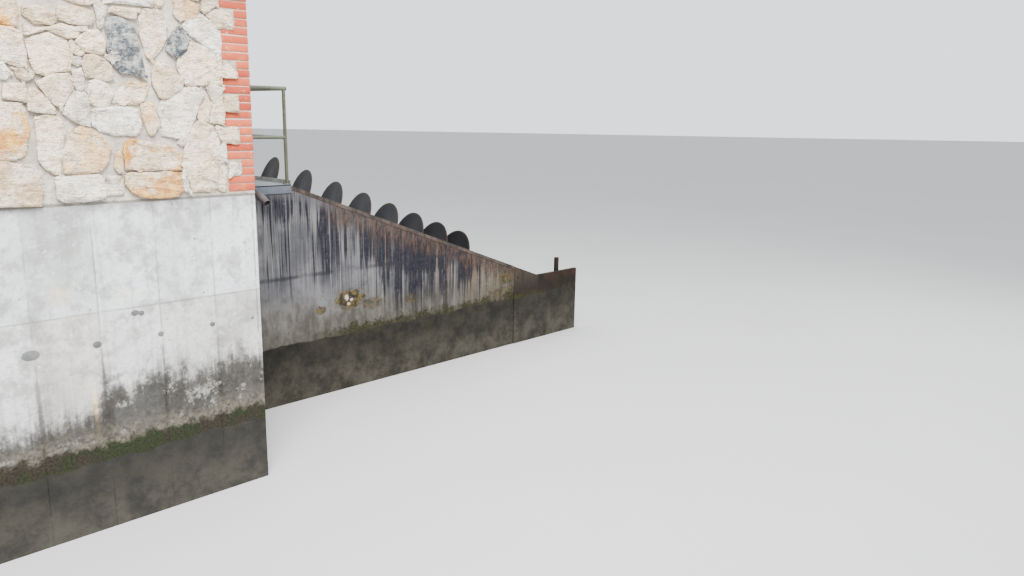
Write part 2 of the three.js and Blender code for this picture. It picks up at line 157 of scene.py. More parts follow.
# A closed profile, drawn as radius (X) and length (Z), is turned round Z, and may climb as it turns. Open
# ends are filled, and the faces are made to point out.
def turnProfile(name, corners, angle=360.0, steps=64, rise=0.0):
    deselectAll()
    bpy.ops.mesh.primitive_circle_add(vertices=len(corners), radius=1)
    piece = bpy.context.object
    piece.name = piece.data.name = name
    for vertex, (radius, along) in zip(piece.data.vertices, corners):
        vertex.co = (radius, 0, along)
    useModifier(piece, 'SCREW', angle=math.radians(angle), steps=steps, render_steps=steps, screw_offset=rise,
                axis='Z', use_merge_vertices=angle == 360)
    setMode('EDIT')
    selectMesh()
    bpy.ops.mesh.remove_doubles(threshold=1e-5)
    bpy.ops.mesh.fill_holes(sides=len(corners))
    selectMesh()
    bpy.ops.mesh.normals_make_consistent(inside=False)
    setMode('OBJECT')
    return piece


def finishPiece(piece, material, body='plant', stands=(), sharp=35.0):
    pick(piece)
    bpy.ops.object.transform_apply(location=True, rotation=True, scale=True)
    bpy.ops.object.shade_smooth_by_angle(angle=math.radians(sharp))
    piece.data.materials.clear()
    piece.data.materials.append(material)
    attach(piece, body)
    if stands:
        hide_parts(*stands)
    print('piece', piece.name, len(piece.data.polygons), 'faces')


# Shader helpers: they add to the tree that is open, and read noise at its place in the object's coordinates

now = {}  # the material, its tree, its shader and its place while they are worked on


class Value:  # what a node gives out, ready to be counted with
    def __init__(self, socket):
        self.socket = socket

    def __add__(self, other):
        return calc('ADD', self, other)

    def __radd__(self, other):
        return calc('ADD', other, self)

    def __sub__(self, other):
        return calc('SUBTRACT', self, other)

    def __rsub__(self, other):
        return calc('SUBTRACT', other, self)

    def __mul__(self, other):
        return calc('MULTIPLY', self, other)

    def __truediv__(self, other):
        return calc('DIVIDE', self, other)

    def __abs__(self):
        return calc('ABSOLUTE', self)


def addNode(kind, inputs={}, **settings):
    node = now['tree'].nodes.new('ShaderNode' + kind)
    for key, value in settings.items():
        setattr(node, key, value)
    for key, value in inputs.items():
        socket = node.inputs[key]
        if isinstance(value, Value):
            now['tree'].links.new(value.socket, socket)
        else:
            socket.default_value = (*value, 1.0) if socket.type == 'RGBA' else value
    return node.outputs


def put(kind, inputs={}, output=0, **settings):
    return Value(addNode(kind, inputs, **settings)[output])


def calc(operation, first, second=0.0):
    return put('Math', {0: first, 1: second}, operation=operation)


def most(first, second):
    return calc('MAXIMUM', first, second)


def vectorMath(operation, first, second, output=0):
    return put('VectorMath', {0: first, 1: second}, output, operation=operation)


def split(value, kind='XYZ'):
    return [Value(part) for part in addNode('Separate' + kind, {0: value})]


def step(value, low, high):  # 0 below low, 1 above high, soft between
    return put('MapRange', {'Value': value, 'From Min': low, 'From Max': high},
               interpolation_type='SMOOTHSTEP')


def stretched(*scale):
    return vectorMath('MULTIPLY', now['place'], scale)


def noise(scale, detail=4.0, roughness=0.55, place=None):
    return put('TexNoise', {'Vector': place or now['place'], 'Scale': scale, 'Detail': detail,
                            'Roughness': roughness})


def blend(mask, first, second):
    return put('Mix', {0: mask, 6: first, 7: second}, 2, data_type='RGBA')


def cracks(scale):  # distance to the nearest of scattered points
    return put('TexVoronoi', {'Vector': now['place'], 'Scale': scale})


def openGroup(name, **inputs):
    now['tree'] = bpy.data.node_groups.new(name, 'ShaderNodeTree')
    for label, value in {'Vector': (0, 0, 0), **inputs}.items():
        kind = 'NodeSocketVector' if isinstance(value, tuple) else 'NodeSocketFloat'
        socket = now['tree'].interface.new_socket(label, in_out='INPUT', socket_type=kind)
        socket.default_value = value
    given = {socket.name: Value(socket) for socket in now['tree'].nodes.new('NodeGroupInput').outputs}
    now['place'] = given['Vector']
    return given


def closeGroup(**results):
    end = now['tree'].nodes.new('NodeGroupOutput')
    for label, value in results.items():
        now['tree'].interface.new_socket(label, in_out='OUTPUT', socket_type='NodeSocketFloat')
        now['tree'].links.new(value.socket, end.inputs[label])
    return now['tree']


def useGroup(group, **inputs):
    outputs = addNode('Group', {'Vector': now['place'], **inputs}, node_tree=group)
    return {output.name: Value(output) for output in outputs}


# Long runs down a wall: thin across, drawn out in height
def makeStreaks():
    given = openGroup('Streaks', Fine=14.0, Run=0.6, Cover=0.55, Soft=0.1, Shift=0.0)
    scale = put('CombineXYZ', {0: given['Fine'], 1: given['Fine'], 2: given['Run']})
    moved = vectorMath('ADD', vectorMath('MULTIPLY', given['Vector'], scale), given['Shift'])
    return closeGroup(Mask=step(noise(1.0, 3.0, 0.6, moved), given['Cover'], given['Cover'] + given['Soft']))


# Clouds of stain with a ragged rim
def makeBlotches():
    given = openGroup('Blotches', Scale=2.0, Cover=0.55, Soft=0.1, Detail=6.0)
    cloud = noise(given['Scale'], given['Detail'], 0.62)
    return closeGroup(Mask=step(cloud, given['Cover'], given['Cover'] + given['Soft']))


# One stain at a place: 1 in the middle, ragged towards its rim
def makeSpot():
    given = openGroup('Spot', Place=(0, 0, 0), Size=(1, 1, 1), Ragged=0.5, Soft=0.2)
    away = vectorMath('SUBTRACT', given['Vector'], given['Place'])
    share = put('VectorMath', {0: vectorMath('DIVIDE', away, given['Size'])}, 'Value', operation='LENGTH')
    rough = noise(14.0, 5.0) * given['Ragged']
    return closeGroup(Mask=step(share + rough, 1.05 + given['Soft'], 1.05 - given['Soft']))


# What standing in water leaves on a wall: a wet foot, moss on it, and dark algae that fade upwards
def makeWaterMarks():
    given = openGroup('Water Marks', Level=waterLine, Height=0.5, Ragged=0.4, Tuft=0.11)
    over = split(given['Vector'])[2] - given['Level']
    rim = (noise(3.0, 6.0) - 0.5) * 0.16
    broad = noise(1.0, 5.0, 0.6, stretched(5.0, 5.0, 1.1))
    fine = noise(1.0, 4.0, 0.6, stretched(26.0, 26.0, 3.0))
    top = over / given['Height'] + (broad * 1.4 + fine - 1.2) * given['Ragged']
    tuft = (noise(9.0, 6.0, 0.7) - 0.5) * 0.3
    return closeGroup(Wet=step(over + rim, 0.012, -0.012),
                      Moss=step(over + tuft, given['Tuft'], given['Tuft'] - 0.08),
                      Algae=step(top, 1.4, 0.4), Depth=step(over, -0.05, -0.7))


# Height for a Bump node: coarse unevenness and fine sand
def makeGrain():
    given = openGroup('Grain', Coarse=6.0, Fine=90.0, Sand=0.4)
    sand = noise(given['Fine'], 3.0, 0.5) * given['Sand']
    return closeGroup(Height=noise(given['Coarse'], 5.0, 0.5) + sand)


# Distance to the nearest of a row of lines along the wall, in metres, and the number of the panel
def makeRow():
    given = openGroup('Row', Start=0.0, Spacing=0.53)
    x, y, _ = split(given['Vector'])
    share = (x + y - given['Start']) / given['Spacing']
    away = abs(share - calc('ROUND', share))
    return closeGroup(Away=away * given['Spacing'], Number=calc('FLOOR', share))


streaksGroup = makeStreaks()
blotchesGroup = makeBlotches()
spotGroup = makeSpot()
waterMarksGroup = makeWaterMarks()
grainGroup = makeGrain()
rowGroup = makeRow()


def streaks(fine, run, cover, soft, shift):
    return useGroup(streaksGroup, Fine=fine, Run=run, Cover=cover, Soft=soft, Shift=shift)['Mask']


def blotches(scale, cover, soft, detail=8.0):
    return useGroup(blotchesGroup, Scale=scale, Cover=cover, Soft=soft, Detail=detail)['Mask']


def spot(centre, size, ragged, soft=0.2):
    return useGroup(spotGroup, Place=centre, Size=size, Ragged=ragged, Soft=soft)['Mask']


def grain(coarse, fine, sand):
    return useGroup(grainGroup, Coarse=coarse, Fine=fine, Sand=sand)['Height']


def openFinish(name, roughness=0.8, metallic=0.0, specular=0.5):
    material = bpy.data.materials.new(name)
    material.use_nodes = True
    shader = material.node_tree.nodes['Principled BSDF']
    shader.inputs['Roughness'].default_value = roughness
    shader.inputs['Metallic'].default_value = metallic
    shader.inputs['Specular IOR Level'].default_value = specular
    now.update(material=material, tree=material.node_tree, shader=shader)
    now['place'] = put('TexCoord', output='Object')


# Rough is a mask, with the roughness outside it and inside it
def closeFinish(colour, height=None, distance=0.0, strength=1.0, rough=None):
    results = {'Base Color': colour}
    if rough:
        results['Roughness'] = put('MapRange', {'Value': rough[0], 'To Min': rough[1], 'To Max': rough[2]})
    if height:
        results['Normal'] = put('Bump', {'Height': height, 'Distance': distance, 'Strength': strength})
    for label, value in results.items():
        now['tree'].links.new(value.socket, now['shader'].inputs[label])
    return now['material']


# Under water the walls wear a film: black at the line, brown silt farther down
def drownedColour(depth):
    cloud = step(noise(3.5, 9.0, 0.72), 0.34, 0.66)
    line = blend(cloud, (0.007, 0.0068, 0.0052), (0.021, 0.0185, 0.013))
    deep = blend(cloud, (0.015, 0.0135, 0.010), (0.046, 0.041, 0.031))
    return blend(depth, line, deep)


# Formed concrete of the house base, grey and clean above, black with algae and mossy at the foot. A spot is
# its place along the wall and in height, its reach both ways, and its strength.
formed = {
    'start': -1.925, 'spacing': 0.53, 'joint': 2.018, 'ties': 1.73,
    'warm': [(-2.75, 2.21, 0.14, 0.12, 0.32), (-3.25, 2.48, 0.07, 0.10, 0.2), (-2.2, 2.15, 0.09, 0.12, 0.18),
             (-2.545, 1.10, 0.036, 0.36, 0.75), (-2.56, 0.90, 0.05, 0.10, 0.5)],
    'drips': [(-2.45, 1.10, 0.085, 0.48, 0.9), (-1.74, 1.20, 0.05, 0.36, 0.6),
              (-3.30, 1.00, 0.05, 0.36, 0.5)],
    'lime': [(-1.55, 1.10, 0.30, 0.13), (-2.78, 0.90, 0.16, 0.06), (-2.30, 1.14, 0.14, 0.05),
             (-3.30, 0.86, 0.20, 0.05)]}


def baseSpot(place, ragged):
    return spot((place[0], -house['half'], place[1]), (place[2], 0.3, place[3]), ragged)


def formedConcrete():
    openFinish('formed concrete', 0.85, specular=0.3)
    x, y, z = split(now['place'])
    row = useGroup(rowGroup, Start=formed['start'] - house['half'], Spacing=formed['spacing'])
    level = calc('GREATER_THAN', z, formed['joint'])
    panel = put('CombineXYZ', {0: row['Number'], 1: level, 2: calc('SIGN', y)})
    tone = put('TexWhiteNoise', {'Vector': panel}, 'Value')
    cloud = noise(1.3, 7.0, 0.6)
    patch = noise(5.0, 8.0, 0.68)
    fleck = noise(26.0, 6.0, 0.7)
    mottle = noise(19.0, 9.0, 0.78)
    high = blend(step(cloud, 0.32, 0.68), (0.27, 0.275, 0.27), (0.56, 0.57, 0.585))
    low = blend(step(cloud, 0.32, 0.68), (0.28, 0.262, 0.24), (0.50, 0.47, 0.435))
    colour = blend(tone * 0.7, blend(level, low, high), (0.66, 0.67, 0.69))
    colour = blend(step(patch, 0.46, 0.60) * 0.6, colour, (0.24, 0.235, 0.22))
    colour = blend(step(fleck, 0.50, 0.66) * 0.5, colour, (0.28, 0.275, 0.26))
    colour = blend(step(fleck, 0.42, 0.34) * 0.5, colour, (0.74, 0.74, 0.745))
    for *place, strength in formed['warm']:
        colour = blend(baseSpot(place, 0.7) * strength, colour, (0.66, 0.51, 0.29))
    colour = blend(streaks(11.0, 0.35, 0.52, 0.16, 3.0) * 0.35, colour, (0.27, 0.27, 0.255))
    lower = step(z + cloud, 2.35, 1.5)
    colour = blend(streaks(19.0, 0.5, 0.46, 0.22, 17.0) * lower * 0.6, colour, (0.19, 0.185, 0.175))
    # painted shade: the top of the base is darkened in patches, just under the stone wall
    paintedTopShade = step(z, house['base'] - 0.16, house['base']) * step(patch, 0.3, 0.6)
    colour = blend(paintedTopShade * 0.6, colour, (0.21, 0.205, 0.195))
    pocks = step(cracks(6.0), 0.085, 0.05) * step(cloud, 0.42, 0.52)
    colour = blend(pocks * 0.7, colour, (0.13, 0.13, 0.125))

    # each tie hole has let a dark run down the joint under it, wider lower down
    fall = formed['ties'] - z
    away = row['Away'] + abs((noise(4.0, 4.0) - 0.5) * 0.10)
    run = step(away - (0.003 + fall * 0.020), 0.020, -0.004) * step(fall, 0.03, 0.12) * step(fleck, 0.1, 0.5)
    run = run * step(fall + cloud, 0.28, 0.95)
    colour = blend(run * 0.88, colour, (0.078, 0.077, 0.072))
    for *place, strength in formed['drips']:
        drip = baseSpot(place, 0.8) * step(mottle, 0.30, 0.60)
        colour = blend(drip * strength, colour, (0.070, 0.067, 0.058))
    strip = step(abs(x - (house['front'] - 0.034)), 0.013, 0.003) * step(patch, 0.30, 0.50)
    colour = blend(strip * 0.7, colour, (0.16, 0.16, 0.155))

    # the joints between the panels, dark where grout has leaked
    ragged = (noise(24.0, 4.0) - 0.5) * 0.012
    seam = step(row['Away'] + ragged, 0.016, 0.001) * step(noise(2.2, 3.0), 0.40, 0.58)
    colour = blend(seam * 0.62, colour, (0.19, 0.19, 0.185))
    line = step(abs(z - formed['joint'] + ragged), 0.013, 0.001) * step(cloud, 0.30, 0.50)
    colour = blend(line * 0.55, colour, (0.21, 0.21, 0.20))

    # algae stand higher at the downstream end, and lime has bloomed on them
    lift = step(x, -2.56, -2.38) * 0.27
    lowered = put('CombineXYZ', {0: x, 1: y, 2: z - lift})
    algae = useGroup(waterMarksGroup, Vector=lowered, Level=0.60, Height=0.52, Ragged=0.55)['Algae']
    growth = blend(step(mottle, 0.36, 0.64), (0.0070, 0.0063, 0.0050), (0.038, 0.0335, 0.0265))
    veil = step(algae + (mottle * 1.3 + patch - 1.15), 0.0, 0.82)
    colour = blend(veil * 0.94, colour, growth)
    bloom = step(noise(6.0, 10.0, 0.75), 0.56, 0.64) * (algae * step(z, 0.80, 0.90))
    for place in formed['lime']:
        bloom = most(bloom, baseSpot(place, 1.0) * step(mottle, 0.46, 0.60))
    colour = blend(bloom * 0.7, colour, (0.31, 0.297, 0.27))
    mud = blend(step(fleck, 0.35, 0.65), (0.030, 0.026, 0.019), (0.17, 0.148, 0.108))
    colour = blend(step(z + patch * 0.4, 1.26, 0.98) * 0.7, colour, mud)

    # moss over the water, green in places, and the drowned foot under it
    foot = useGroup(waterMarksGroup, Level=0.66, Height=0.3, Ragged=0.4, Tuft=0.20)
    tufts = step(noise(48.0, 6.0, 0.7), 0.34, 0.66)
    brownish = blend(tufts, (0.003, 0.0026, 0.0015), (0.026, 0.020, 0.0098))
    green = blend(tufts, (0.0026, 0.0042, 0.0010), (0.0175, 0.0225, 0.0045))
    middle = step(x, -2.75, -2.35) * step(x, -1.5, -1.8)
    fresh = step(noise(3.0, 6.0) + tufts * 0.06 + middle * 0.10, 0.57, 0.64)
    colour = blend(foot['Moss'], colour, blend(fresh, brownish, green))
    colour = blend(foot['Wet'], colour, drownedColour(foot['Depth']))
    pits = step(cracks(9.0), 0.02, 0.07) * 0.5
    height = grain(5.0, 130.0, 0.22) + pits + foot['Moss'] * mottle * 1.6
    return closeFinish(colour, height, 0.007, 0.8, (foot['Wet'], 0.85, 0.6))


# Concrete of the channel, streaked from its steel edge down. Black runs stand alone, and masses are where
# they crowd. A spot is its place along the wall and in height, its reach both ways, and its strength.
streaked = {
    'joint': 1.675,
    'runs': [(1.03, 1.92, 0.045, 0.46, 0.95), (0.40, 2.52, 0.035, 0.27, 0.9), (0.30, 2.60, 0.02, 0.2, 0.8),
             (2.62, 1.30, 0.035, 0.30, 0.9), (2.78, 1.28, 0.03, 0.33, 0.9), (3.03, 1.25, 0.035, 0.33, 0.95),
             (3.35, 1.25, 0.03, 0.25, 0.8), (2.05, 1.85, 0.05, 0.35, 0.9), (1.55, 1.75, 0.03, 0.3, 0.7)],
    'masses': [(2.80, 1.73, 0.95, 0.36, 1.0), (2.0, 2.0, 0.75, 0.36, 0.70), (1.03, 2.1, 0.24, 0.6, 0.7),
               (2.7, 1.4, 1.0, 0.55, 0.62), (0.35, 2.6, 0.35, 0.2, 0.4), (3.45, 1.5, 0.4, 0.35, 0.7)],
    'moss': [(1.36, 1.26, 0.40, 0.22, 0.95), (0.89, 1.18, 0.13, 0.10, 0.85), (1.72, 1.15, 0.30, 0.13, 0.65),
             (2.42, 1.10, 0.16, 0.13, 0.6), (4.40, 1.14, 0.26, 0.15, 0.8), (4.4, 0.95, 0.6, 0.12, 0.7)],
    'broken': [(1.30, 1.285, 0.055, 0.07), (1.38, 1.25, 0.05, 0.045), (1.335, 1.20, 0.05, 0.03)]}


def channelSpot(place, across, ragged, soft=0.2):
    return spot((place[0], -channel['half'], place[1]), (place[2], across, place[3]), ragged, soft)


def streakedConcrete():
    openFinish('streaked concrete', 0.88, specular=0.12)
    x, _, z = split(now['place'])
    down = channel['top'] - most(x - slope['start'], 0.0) * slope['fall'] - z  # depth under the channel's top
    cloud = noise(1.7, 7.0, 0.6)
    fleck = noise(15.0, 8.0, 0.7)
    colour = blend(step(cloud, 0.32, 0.68), (0.055, 0.055, 0.0595), (0.125, 0.122, 0.126))
    warmer = blend(step(noise(1.0, 7.0, 0.65, stretched(6.0, 6.0, 2.4)), 0.34, 0.66), (0.046, 0.042, 0.0355),
                   (0.146, 0.137, 0.121))
    colour = blend(step(z + cloud * 0.6, 1.85, 1.35) * 0.9, colour, warmer)
    colour = blend(step(fleck, 0.52, 0.68) * 0.5, colour, (0.038, 0.036, 0.034))
    brown = blend(step(fleck, 0.3, 0.6), (0.030, 0.024, 0.016), (0.125, 0.104, 0.074))
    colour = blend(step(x, 3.1, 3.9) * 0.7, colour, brown)
    colour = blend(step(x + fleck * 0.6, 4.35, 4.85) * 0.75, colour, (0.036, 0.029, 0.019))

    # hair-thin runs everywhere, and pale and tan ones that start a little under the top
    hair = streaks(46.0, 0.9, 0.44, 0.2, 31.0) * step(down + cloud * 0.8, 2.0, 1.3)
    colour = blend(hair * 0.6, colour, (0.030, 0.030, 0.034))
    pale = streaks(24.0, 0.45, 0.53, 0.12, 11.0) * (step(down, 0.12, 0.35) * step(down, 1.5, 0.9))
    colour = blend(pale * 0.7, colour, (0.165, 0.16, 0.152))
    tan = streaks(11.0, 0.3, 0.50, 0.12, 5.0) * (step(down, 1.1, 0.3) * step(x, 0.8, 1.3))
    colour = blend(tan * 0.6, colour, (0.105, 0.072, 0.042))

    # blue-black runs: single ones near the deck, and where they crowd they close to a mass that drips
    crowd = 0.0
    for *place, strength in streaked['masses']:
        crowd = most(crowd, channelSpot(place, 3.0, 0.3, 0.5) * strength)
    cover = 0.59 - crowd * 0.25
    length = (noise(1.0, 4.0, 0.65, stretched(9.0, 9.0, 0.05)) - 0.42) * 3.2 + 0.75
    reach = step(down, 0.02, 0.20) * step(down - length, 0.20, -0.12)
    dark = most(streaks(21.0, 0.35, cover, 0.10, 0.0), streaks(8.0, 0.6, cover + 0.03, 0.12, 21.0))
    dark = dark * most(reach, crowd)
    for *place, strength in streaked['runs']:
        dark = most(dark, channelSpot(place, 3.0, 0.8) * strength)
    washed = streaks(44.0, 0.55, 0.47, 0.20, 57.0) * step(noise(5.0, 5.0), 0.40, 0.60)
    dark = dark * step(fleck, 0.18, 0.42) * (1.0 - washed * 0.40)
    black = blend(step(noise(34.0, 4.0), 0.3, 0.7), (0.0030, 0.0030, 0.0062), (0.0125, 0.012, 0.0185))
    colour = blend(dark * 0.95, colour, black)

    # rust from the steel edge
    frayed = noise(1.0, 4.0, 0.55, stretched(22.0, 22.0, 1.2)) * 0.62
    edge = step(down - frayed, 0.06, -0.16) * step(x, 0.7, 1.3)
    rusty = step(noise(1.0, 6.0, 0.7, stretched(26.0, 26.0, 7.0)), 0.40, 0.62)
    colour = blend(edge * 0.72, colour, blend(rusty, (0.012, 0.010, 0.012), (0.068, 0.040, 0.026)))

    # form joint, half way up: a smear more than a line
    line = abs(z - streaked['joint'] + (noise(3.0, 6.0) - 0.5) * 0.07)
    stained = step(x, 1.3, 1.9) * step(x, 3.6, 2.9)
    line = step(line, 0.045, 0.004) * most(step(noise(2.3, 4.0), 0.38, 0.56), stained)
    colour = blend(line * 0.70, colour, (0.015, 0.0145, 0.018))

    # moss and a broken place low on the near wall
    speck = step(noise(26.0, 6.0, 0.7), 0.36, 0.48)
    moss = blend(step(noise(15.0, 5.0), 0.40, 0.66), (0.013, 0.009, 0.004), (0.090, 0.062, 0.010))
    for *place, strength in streaked['moss']:
        colour = blend(channelSpot(place, 0.3, 0.9) * speck * strength, colour, moss)
    for place in streaked['broken']:
        colour = blend(channelSpot(place, 0.2, 1.1), colour, (0.36, 0.30, 0.27))

    marks = useGroup(waterMarksGroup, Level=waterLine, Height=0.4, Ragged=0.5, Tuft=0.145)
    colour = blend(marks['Algae'] * 0.45, colour, (0.036, 0.032, 0.024))
    green = blend(step(noise(36.0, 6.0, 0.7), 0.34, 0.66), (0.0048, 0.0054, 0.0024), (0.029, 0.0262, 0.0088))
    mossy = marks['Moss'] * step(noise(2.5, 5.0), 0.26, 0.50) * step(x, 0.2, 1.5)
    colour = blend(mossy * 0.88, colour, green)
    colour = blend(marks['Wet'], colour, drownedColour(marks['Depth']))
    height = grain(8.0, 110.0, 0.35) + mossy * noise(40.0, 5.0) * 1.5
    return closeFinish(colour, height, 0.008, 0.8, (most(marks['Wet'], dark * 0.5), 0.85, 0.6))


# Lime mortar between the stones and the bricks
def mortarFinish():
    openFinish('lime mortar', 0.9, specular=0.3)
    colour = blend(step(noise(2.5, 7.0, 0.65), 0.35, 0.65), (0.35, 0.305, 0.25), (0.62, 0.565, 0.49))
    colour = blend(step(noise(34.0, 6.0, 0.7), 0.50, 0.66) * 0.5, colour, (0.27, 0.235, 0.19))
    # painted shadow: a ragged dark line along the foot of the mortar, where it meets the top of the concrete
    foot = step(split(now['place'])[2] - house['base'] - noise(9.0, 6.0, 0.7) * 0.06, 0.004, -0.012)
    colour = blend(foot * 0.85, colour, (0.13, 0.12, 0.105))
    return closeFinish(colour, grain(22.0, 160.0, 0.5), 0.016, 1.0)


# Split limestone: each stone has its own shade, and some are ochre, slate grey or near white
def stoneFinish():
    openFinish('split limestone', 0.88, specular=0.35)
    mark = addNode('Attribute', attribute_name='stone')
    shade, ochre, grey = split(Value(mark['Color']), 'Color')
    layers = noise(1.8, 9.0, 0.7, stretched(3.0, 3.0, 10.0))
    cloud = noise(4.5, 9.0, 0.7)
    colour = blend(shade, (0.50, 0.37, 0.23), (0.92, 0.77, 0.565))
    colour = blend(step(cloud, 0.45, 0.60) * 0.7, colour, (0.94, 0.83, 0.67))
    colour = blend(step(layers, 0.50, 0.62) * 0.58, colour, (0.40, 0.29, 0.18))
    pale = blend(step(cloud, 0.38, 0.56), (0.60, 0.55, 0.485), (0.96, 0.92, 0.84))
    pale = blend(step(layers, 0.52, 0.64) * 0.5, pale, (0.50, 0.455, 0.39))
    colour = blend(Value(mark['Alpha']), colour, pale)
    iron = blend(step(noise(14.0, 5.0), 0.32, 0.66), (0.53, 0.20, 0.024), (0.88, 0.50, 0.125))
    colour = blend(blotches(4.2, 0.43, 0.12) * ochre, colour, iron)
    slate = blend(step(noise(9.0, 9.0, 0.75), 0.42, 0.58), (0.060, 0.074, 0.090), (0.40, 0.40, 0.385))
    colour = blend(grey, colour, slate)
    colour = blend(step(noise(24.0, 8.0, 0.75), 0.50, 0.62) * 0.55, colour, (0.27, 0.21, 0.145))
    # painted shade: points lying behind the stone fronts, the sides of the stones in the joints, are darkened
    # in patches as if in shadow
    depth = put('Attribute', output='Fac', attribute_name='depth') * step(noise(3.2, 5.0), 0.36, 0.56)
    colour = blend(depth * 0.85, colour, (0.085, 0.068, 0.052))
    return closeFinish(colour, grain(20.0, 80.0, 0.5) + layers * 1.4, 0.034, 1.0)


def brickFinish():
    openFinish('red brick', 0.85, specular=0.35)
    own = put('Attribute', output='Fac', attribute_name='brick')
    colour = blend(own, (0.31, 0.039, 0.018), (0.47, 0.092, 0.036))
    colour = blend(step(noise(11.0, 7.0, 0.65), 0.50, 0.70) * 0.35, colour, (0.55, 0.185, 0.095))
    colour = blend(blotches(26.0, 0.60, 0.10, 7.0) * 0.5, colour, (0.72, 0.60, 0.52))
    return closeFinish(colour, grain(30.0, 200.0, 0.5), 0.004, 0.9)


# Painted sheet, dull and stained, for the deck and the roof
def sheetFinish(name, dark, light, stain, dirty=0.45):
    openFinish(name, 0.7, 0.1, 0.15)
    cloud = noise(2.2, 7.0, 0.6)
    colour = blend(step(cloud, 0.35, 0.65), dark, light)
    colour = blend(blotches(7.0, 0.52, 0.14) * dirty, colour, stain)
    colour = blend(streaks(11.0, 1.5, 0.55, 0.12, 2.0) * (dirty * 0.6), colour, stain)
    return closeFinish(colour, grain(3.0, 140.0, 0.06), 0.004, 0.6, (cloud, 0.58, 0.78))


def rustySteel():
    openFinish('rusty steel', 0.88, 0.0, 0.12)
    x = split(now['place'])[0]
    cloud = noise(3.5, 8.0, 0.65)
    colour = blend(step(cloud, 0.36, 0.64), (0.030, 0.026, 0.023), (0.070, 0.056, 0.046))
    colour = blend(blotches(9.0, 0.53, 0.12) * 0.5, colour, (0.085, 0.040, 0.020))
    colour = blend(step(x, 4.58, 4.62) * 0.7, colour, (0.018, 0.0138, 0.009))  # the end plate is darker
    reddish = blend(step(cloud, 0.40, 0.60), (0.0042, 0.0034, 0.003), (0.024, 0.0086, 0.0055))
    colour = blend(step(x, 5.16, 5.24) * 0.8, colour, reddish)  # and redder past its bend
    colour = blend(streaks(16.0, 0.6, 0.50, 0.12, 7.0) * 0.5, colour, (0.014, 0.012, 0.010))
    marks = useGroup(waterMarksGroup, Level=waterLine, Height=0.25, Ragged=0.5)
    colour = blend(marks['Algae'] * 0.7, colour, (0.0095, 0.0085, 0.006))
    green = blend(noise(24.0, 4.0), (0.007, 0.009, 0.003), (0.042, 0.037, 0.011))
    colour = blend(marks['Moss'] * step(noise(3.0, 5.0), 0.38, 0.6) * 0.7, colour, green)
    colour = blend(marks['Wet'], colour, drownedColour(marks['Depth']))
    return closeFinish(colour, grain(26.0, 170.0, 0.6), 0.003, 0.9, (marks['Wet'], 0.85, 0.6))


# Charcoal paint of the screw, worn brown at the rims of the flights
def bladeFinish():
    openFinish('screw paint', 0.65, 0.0, 0.05)
    away = vectorMath('SUBTRACT', now['place'], screwAxis['point'])
    along = vectorMath('DOT_PRODUCT', away, screwAxis['way'], 'Value')
    axial = put('VectorMath', {0: screwAxis['way'], 3: along}, operation='SCALE')
    across = vectorMath('SUBTRACT', away, axial)
    radius = put('VectorMath', {0: across}, 'Value', operation='LENGTH')
    cloud = step(noise(3.0, 7.0, 0.65), 0.36, 0.64)
    colour = blend(cloud, (0.0160, 0.0162, 0.0188), (0.0215, 0.0210, 0.0232))
    film = blotches(6.0, 0.50, 0.16)
    colour = blend(film * 0.22, colour, (0.026, 0.023, 0.0205))
    colour = blend(step(along, 1.3, 4.1) * 0.89, colour, (0.0010, 0.0006, 0.0009))  # darker towards the lower end
    rim = step(radius + noise(14.0, 6.0) * 0.05, 0.79, 0.83)
    colour = blend(rim * 0.8, colour, (0.036, 0.026, 0.018))
    return closeFinish(colour, grain(9.0, 120.0, 0.3), 0.0012, 0.6, (film, 0.64, 0.70))


def railFinish():
    openFinish('rail paint', 0.5, 0.1)
    colour = blend(step(noise(6.0, 7.0, 0.6), 0.36, 0.64), (0.054, 0.058, 0.036), (0.086, 0.090, 0.060))
    # painted highlight: faces that look up are made lighter, as if lit by the sky
    paintedSkyLight = step(split(put('NewGeometry', output='Normal'))[2], 0.2, 0.9)
    colour = blend(paintedSkyLight * 0.5, colour, (0.165, 0.178, 0.16))
    film = blotches(12.0, 0.50, 0.15)
    colour = blend(film * 0.45, colour, (0.080, 0.078, 0.034))
    colour = blend(blotches(42.0, 0.66, 0.03, 5.0), colour, (0.07, 0.035, 0.02))
    return closeFinish(colour, grain(20.0, 220.0, 0.3), 0.001, 0.7, (film, 0.4, 0.7))


# Boards whose grain runs along X, along Y, or along the slope of the gable
def boardFinish(name, *lengthways):
    openFinish(name, 0.75, specular=0.3)
    grainy = noise(1.0, 8.0, 0.65, stretched(*lengthways))
    colour = blend(step(grainy, 0.35, 0.66), (0.13, 0.085, 0.05), (0.27, 0.19, 0.115))
    colour = blend(blotches(1.6, 0.46, 0.2, 6.0) * 0.6, colour, (0.24, 0.225, 0.20))
    return closeFinish(colour, grainy, 0.006, 0.8)


def castFinish(name, dark, light, roughness=0.6, metallic=0.3, rusty=0.6):
    openFinish(name, roughness, metallic)
    colour = blend(step(noise(7.0, 7.0, 0.6), 0.36, 0.64), dark, light)
    colour = blend(blotches(16.0, 0.56, 0.08, 7.0) * rusty, colour, (0.17, 0.09, 0.05))
    return closeFinish(colour, grain(30.0, 180.0, 0.5), 0.002, 0.8)


def floorFinish():
    openFinish('pale floor', 0.9, specular=0.2)
    return closeFinish(blend(noise(0.35, 4.0), (0.38, 0.38, 0.376), (0.42, 0.42, 0.415)))


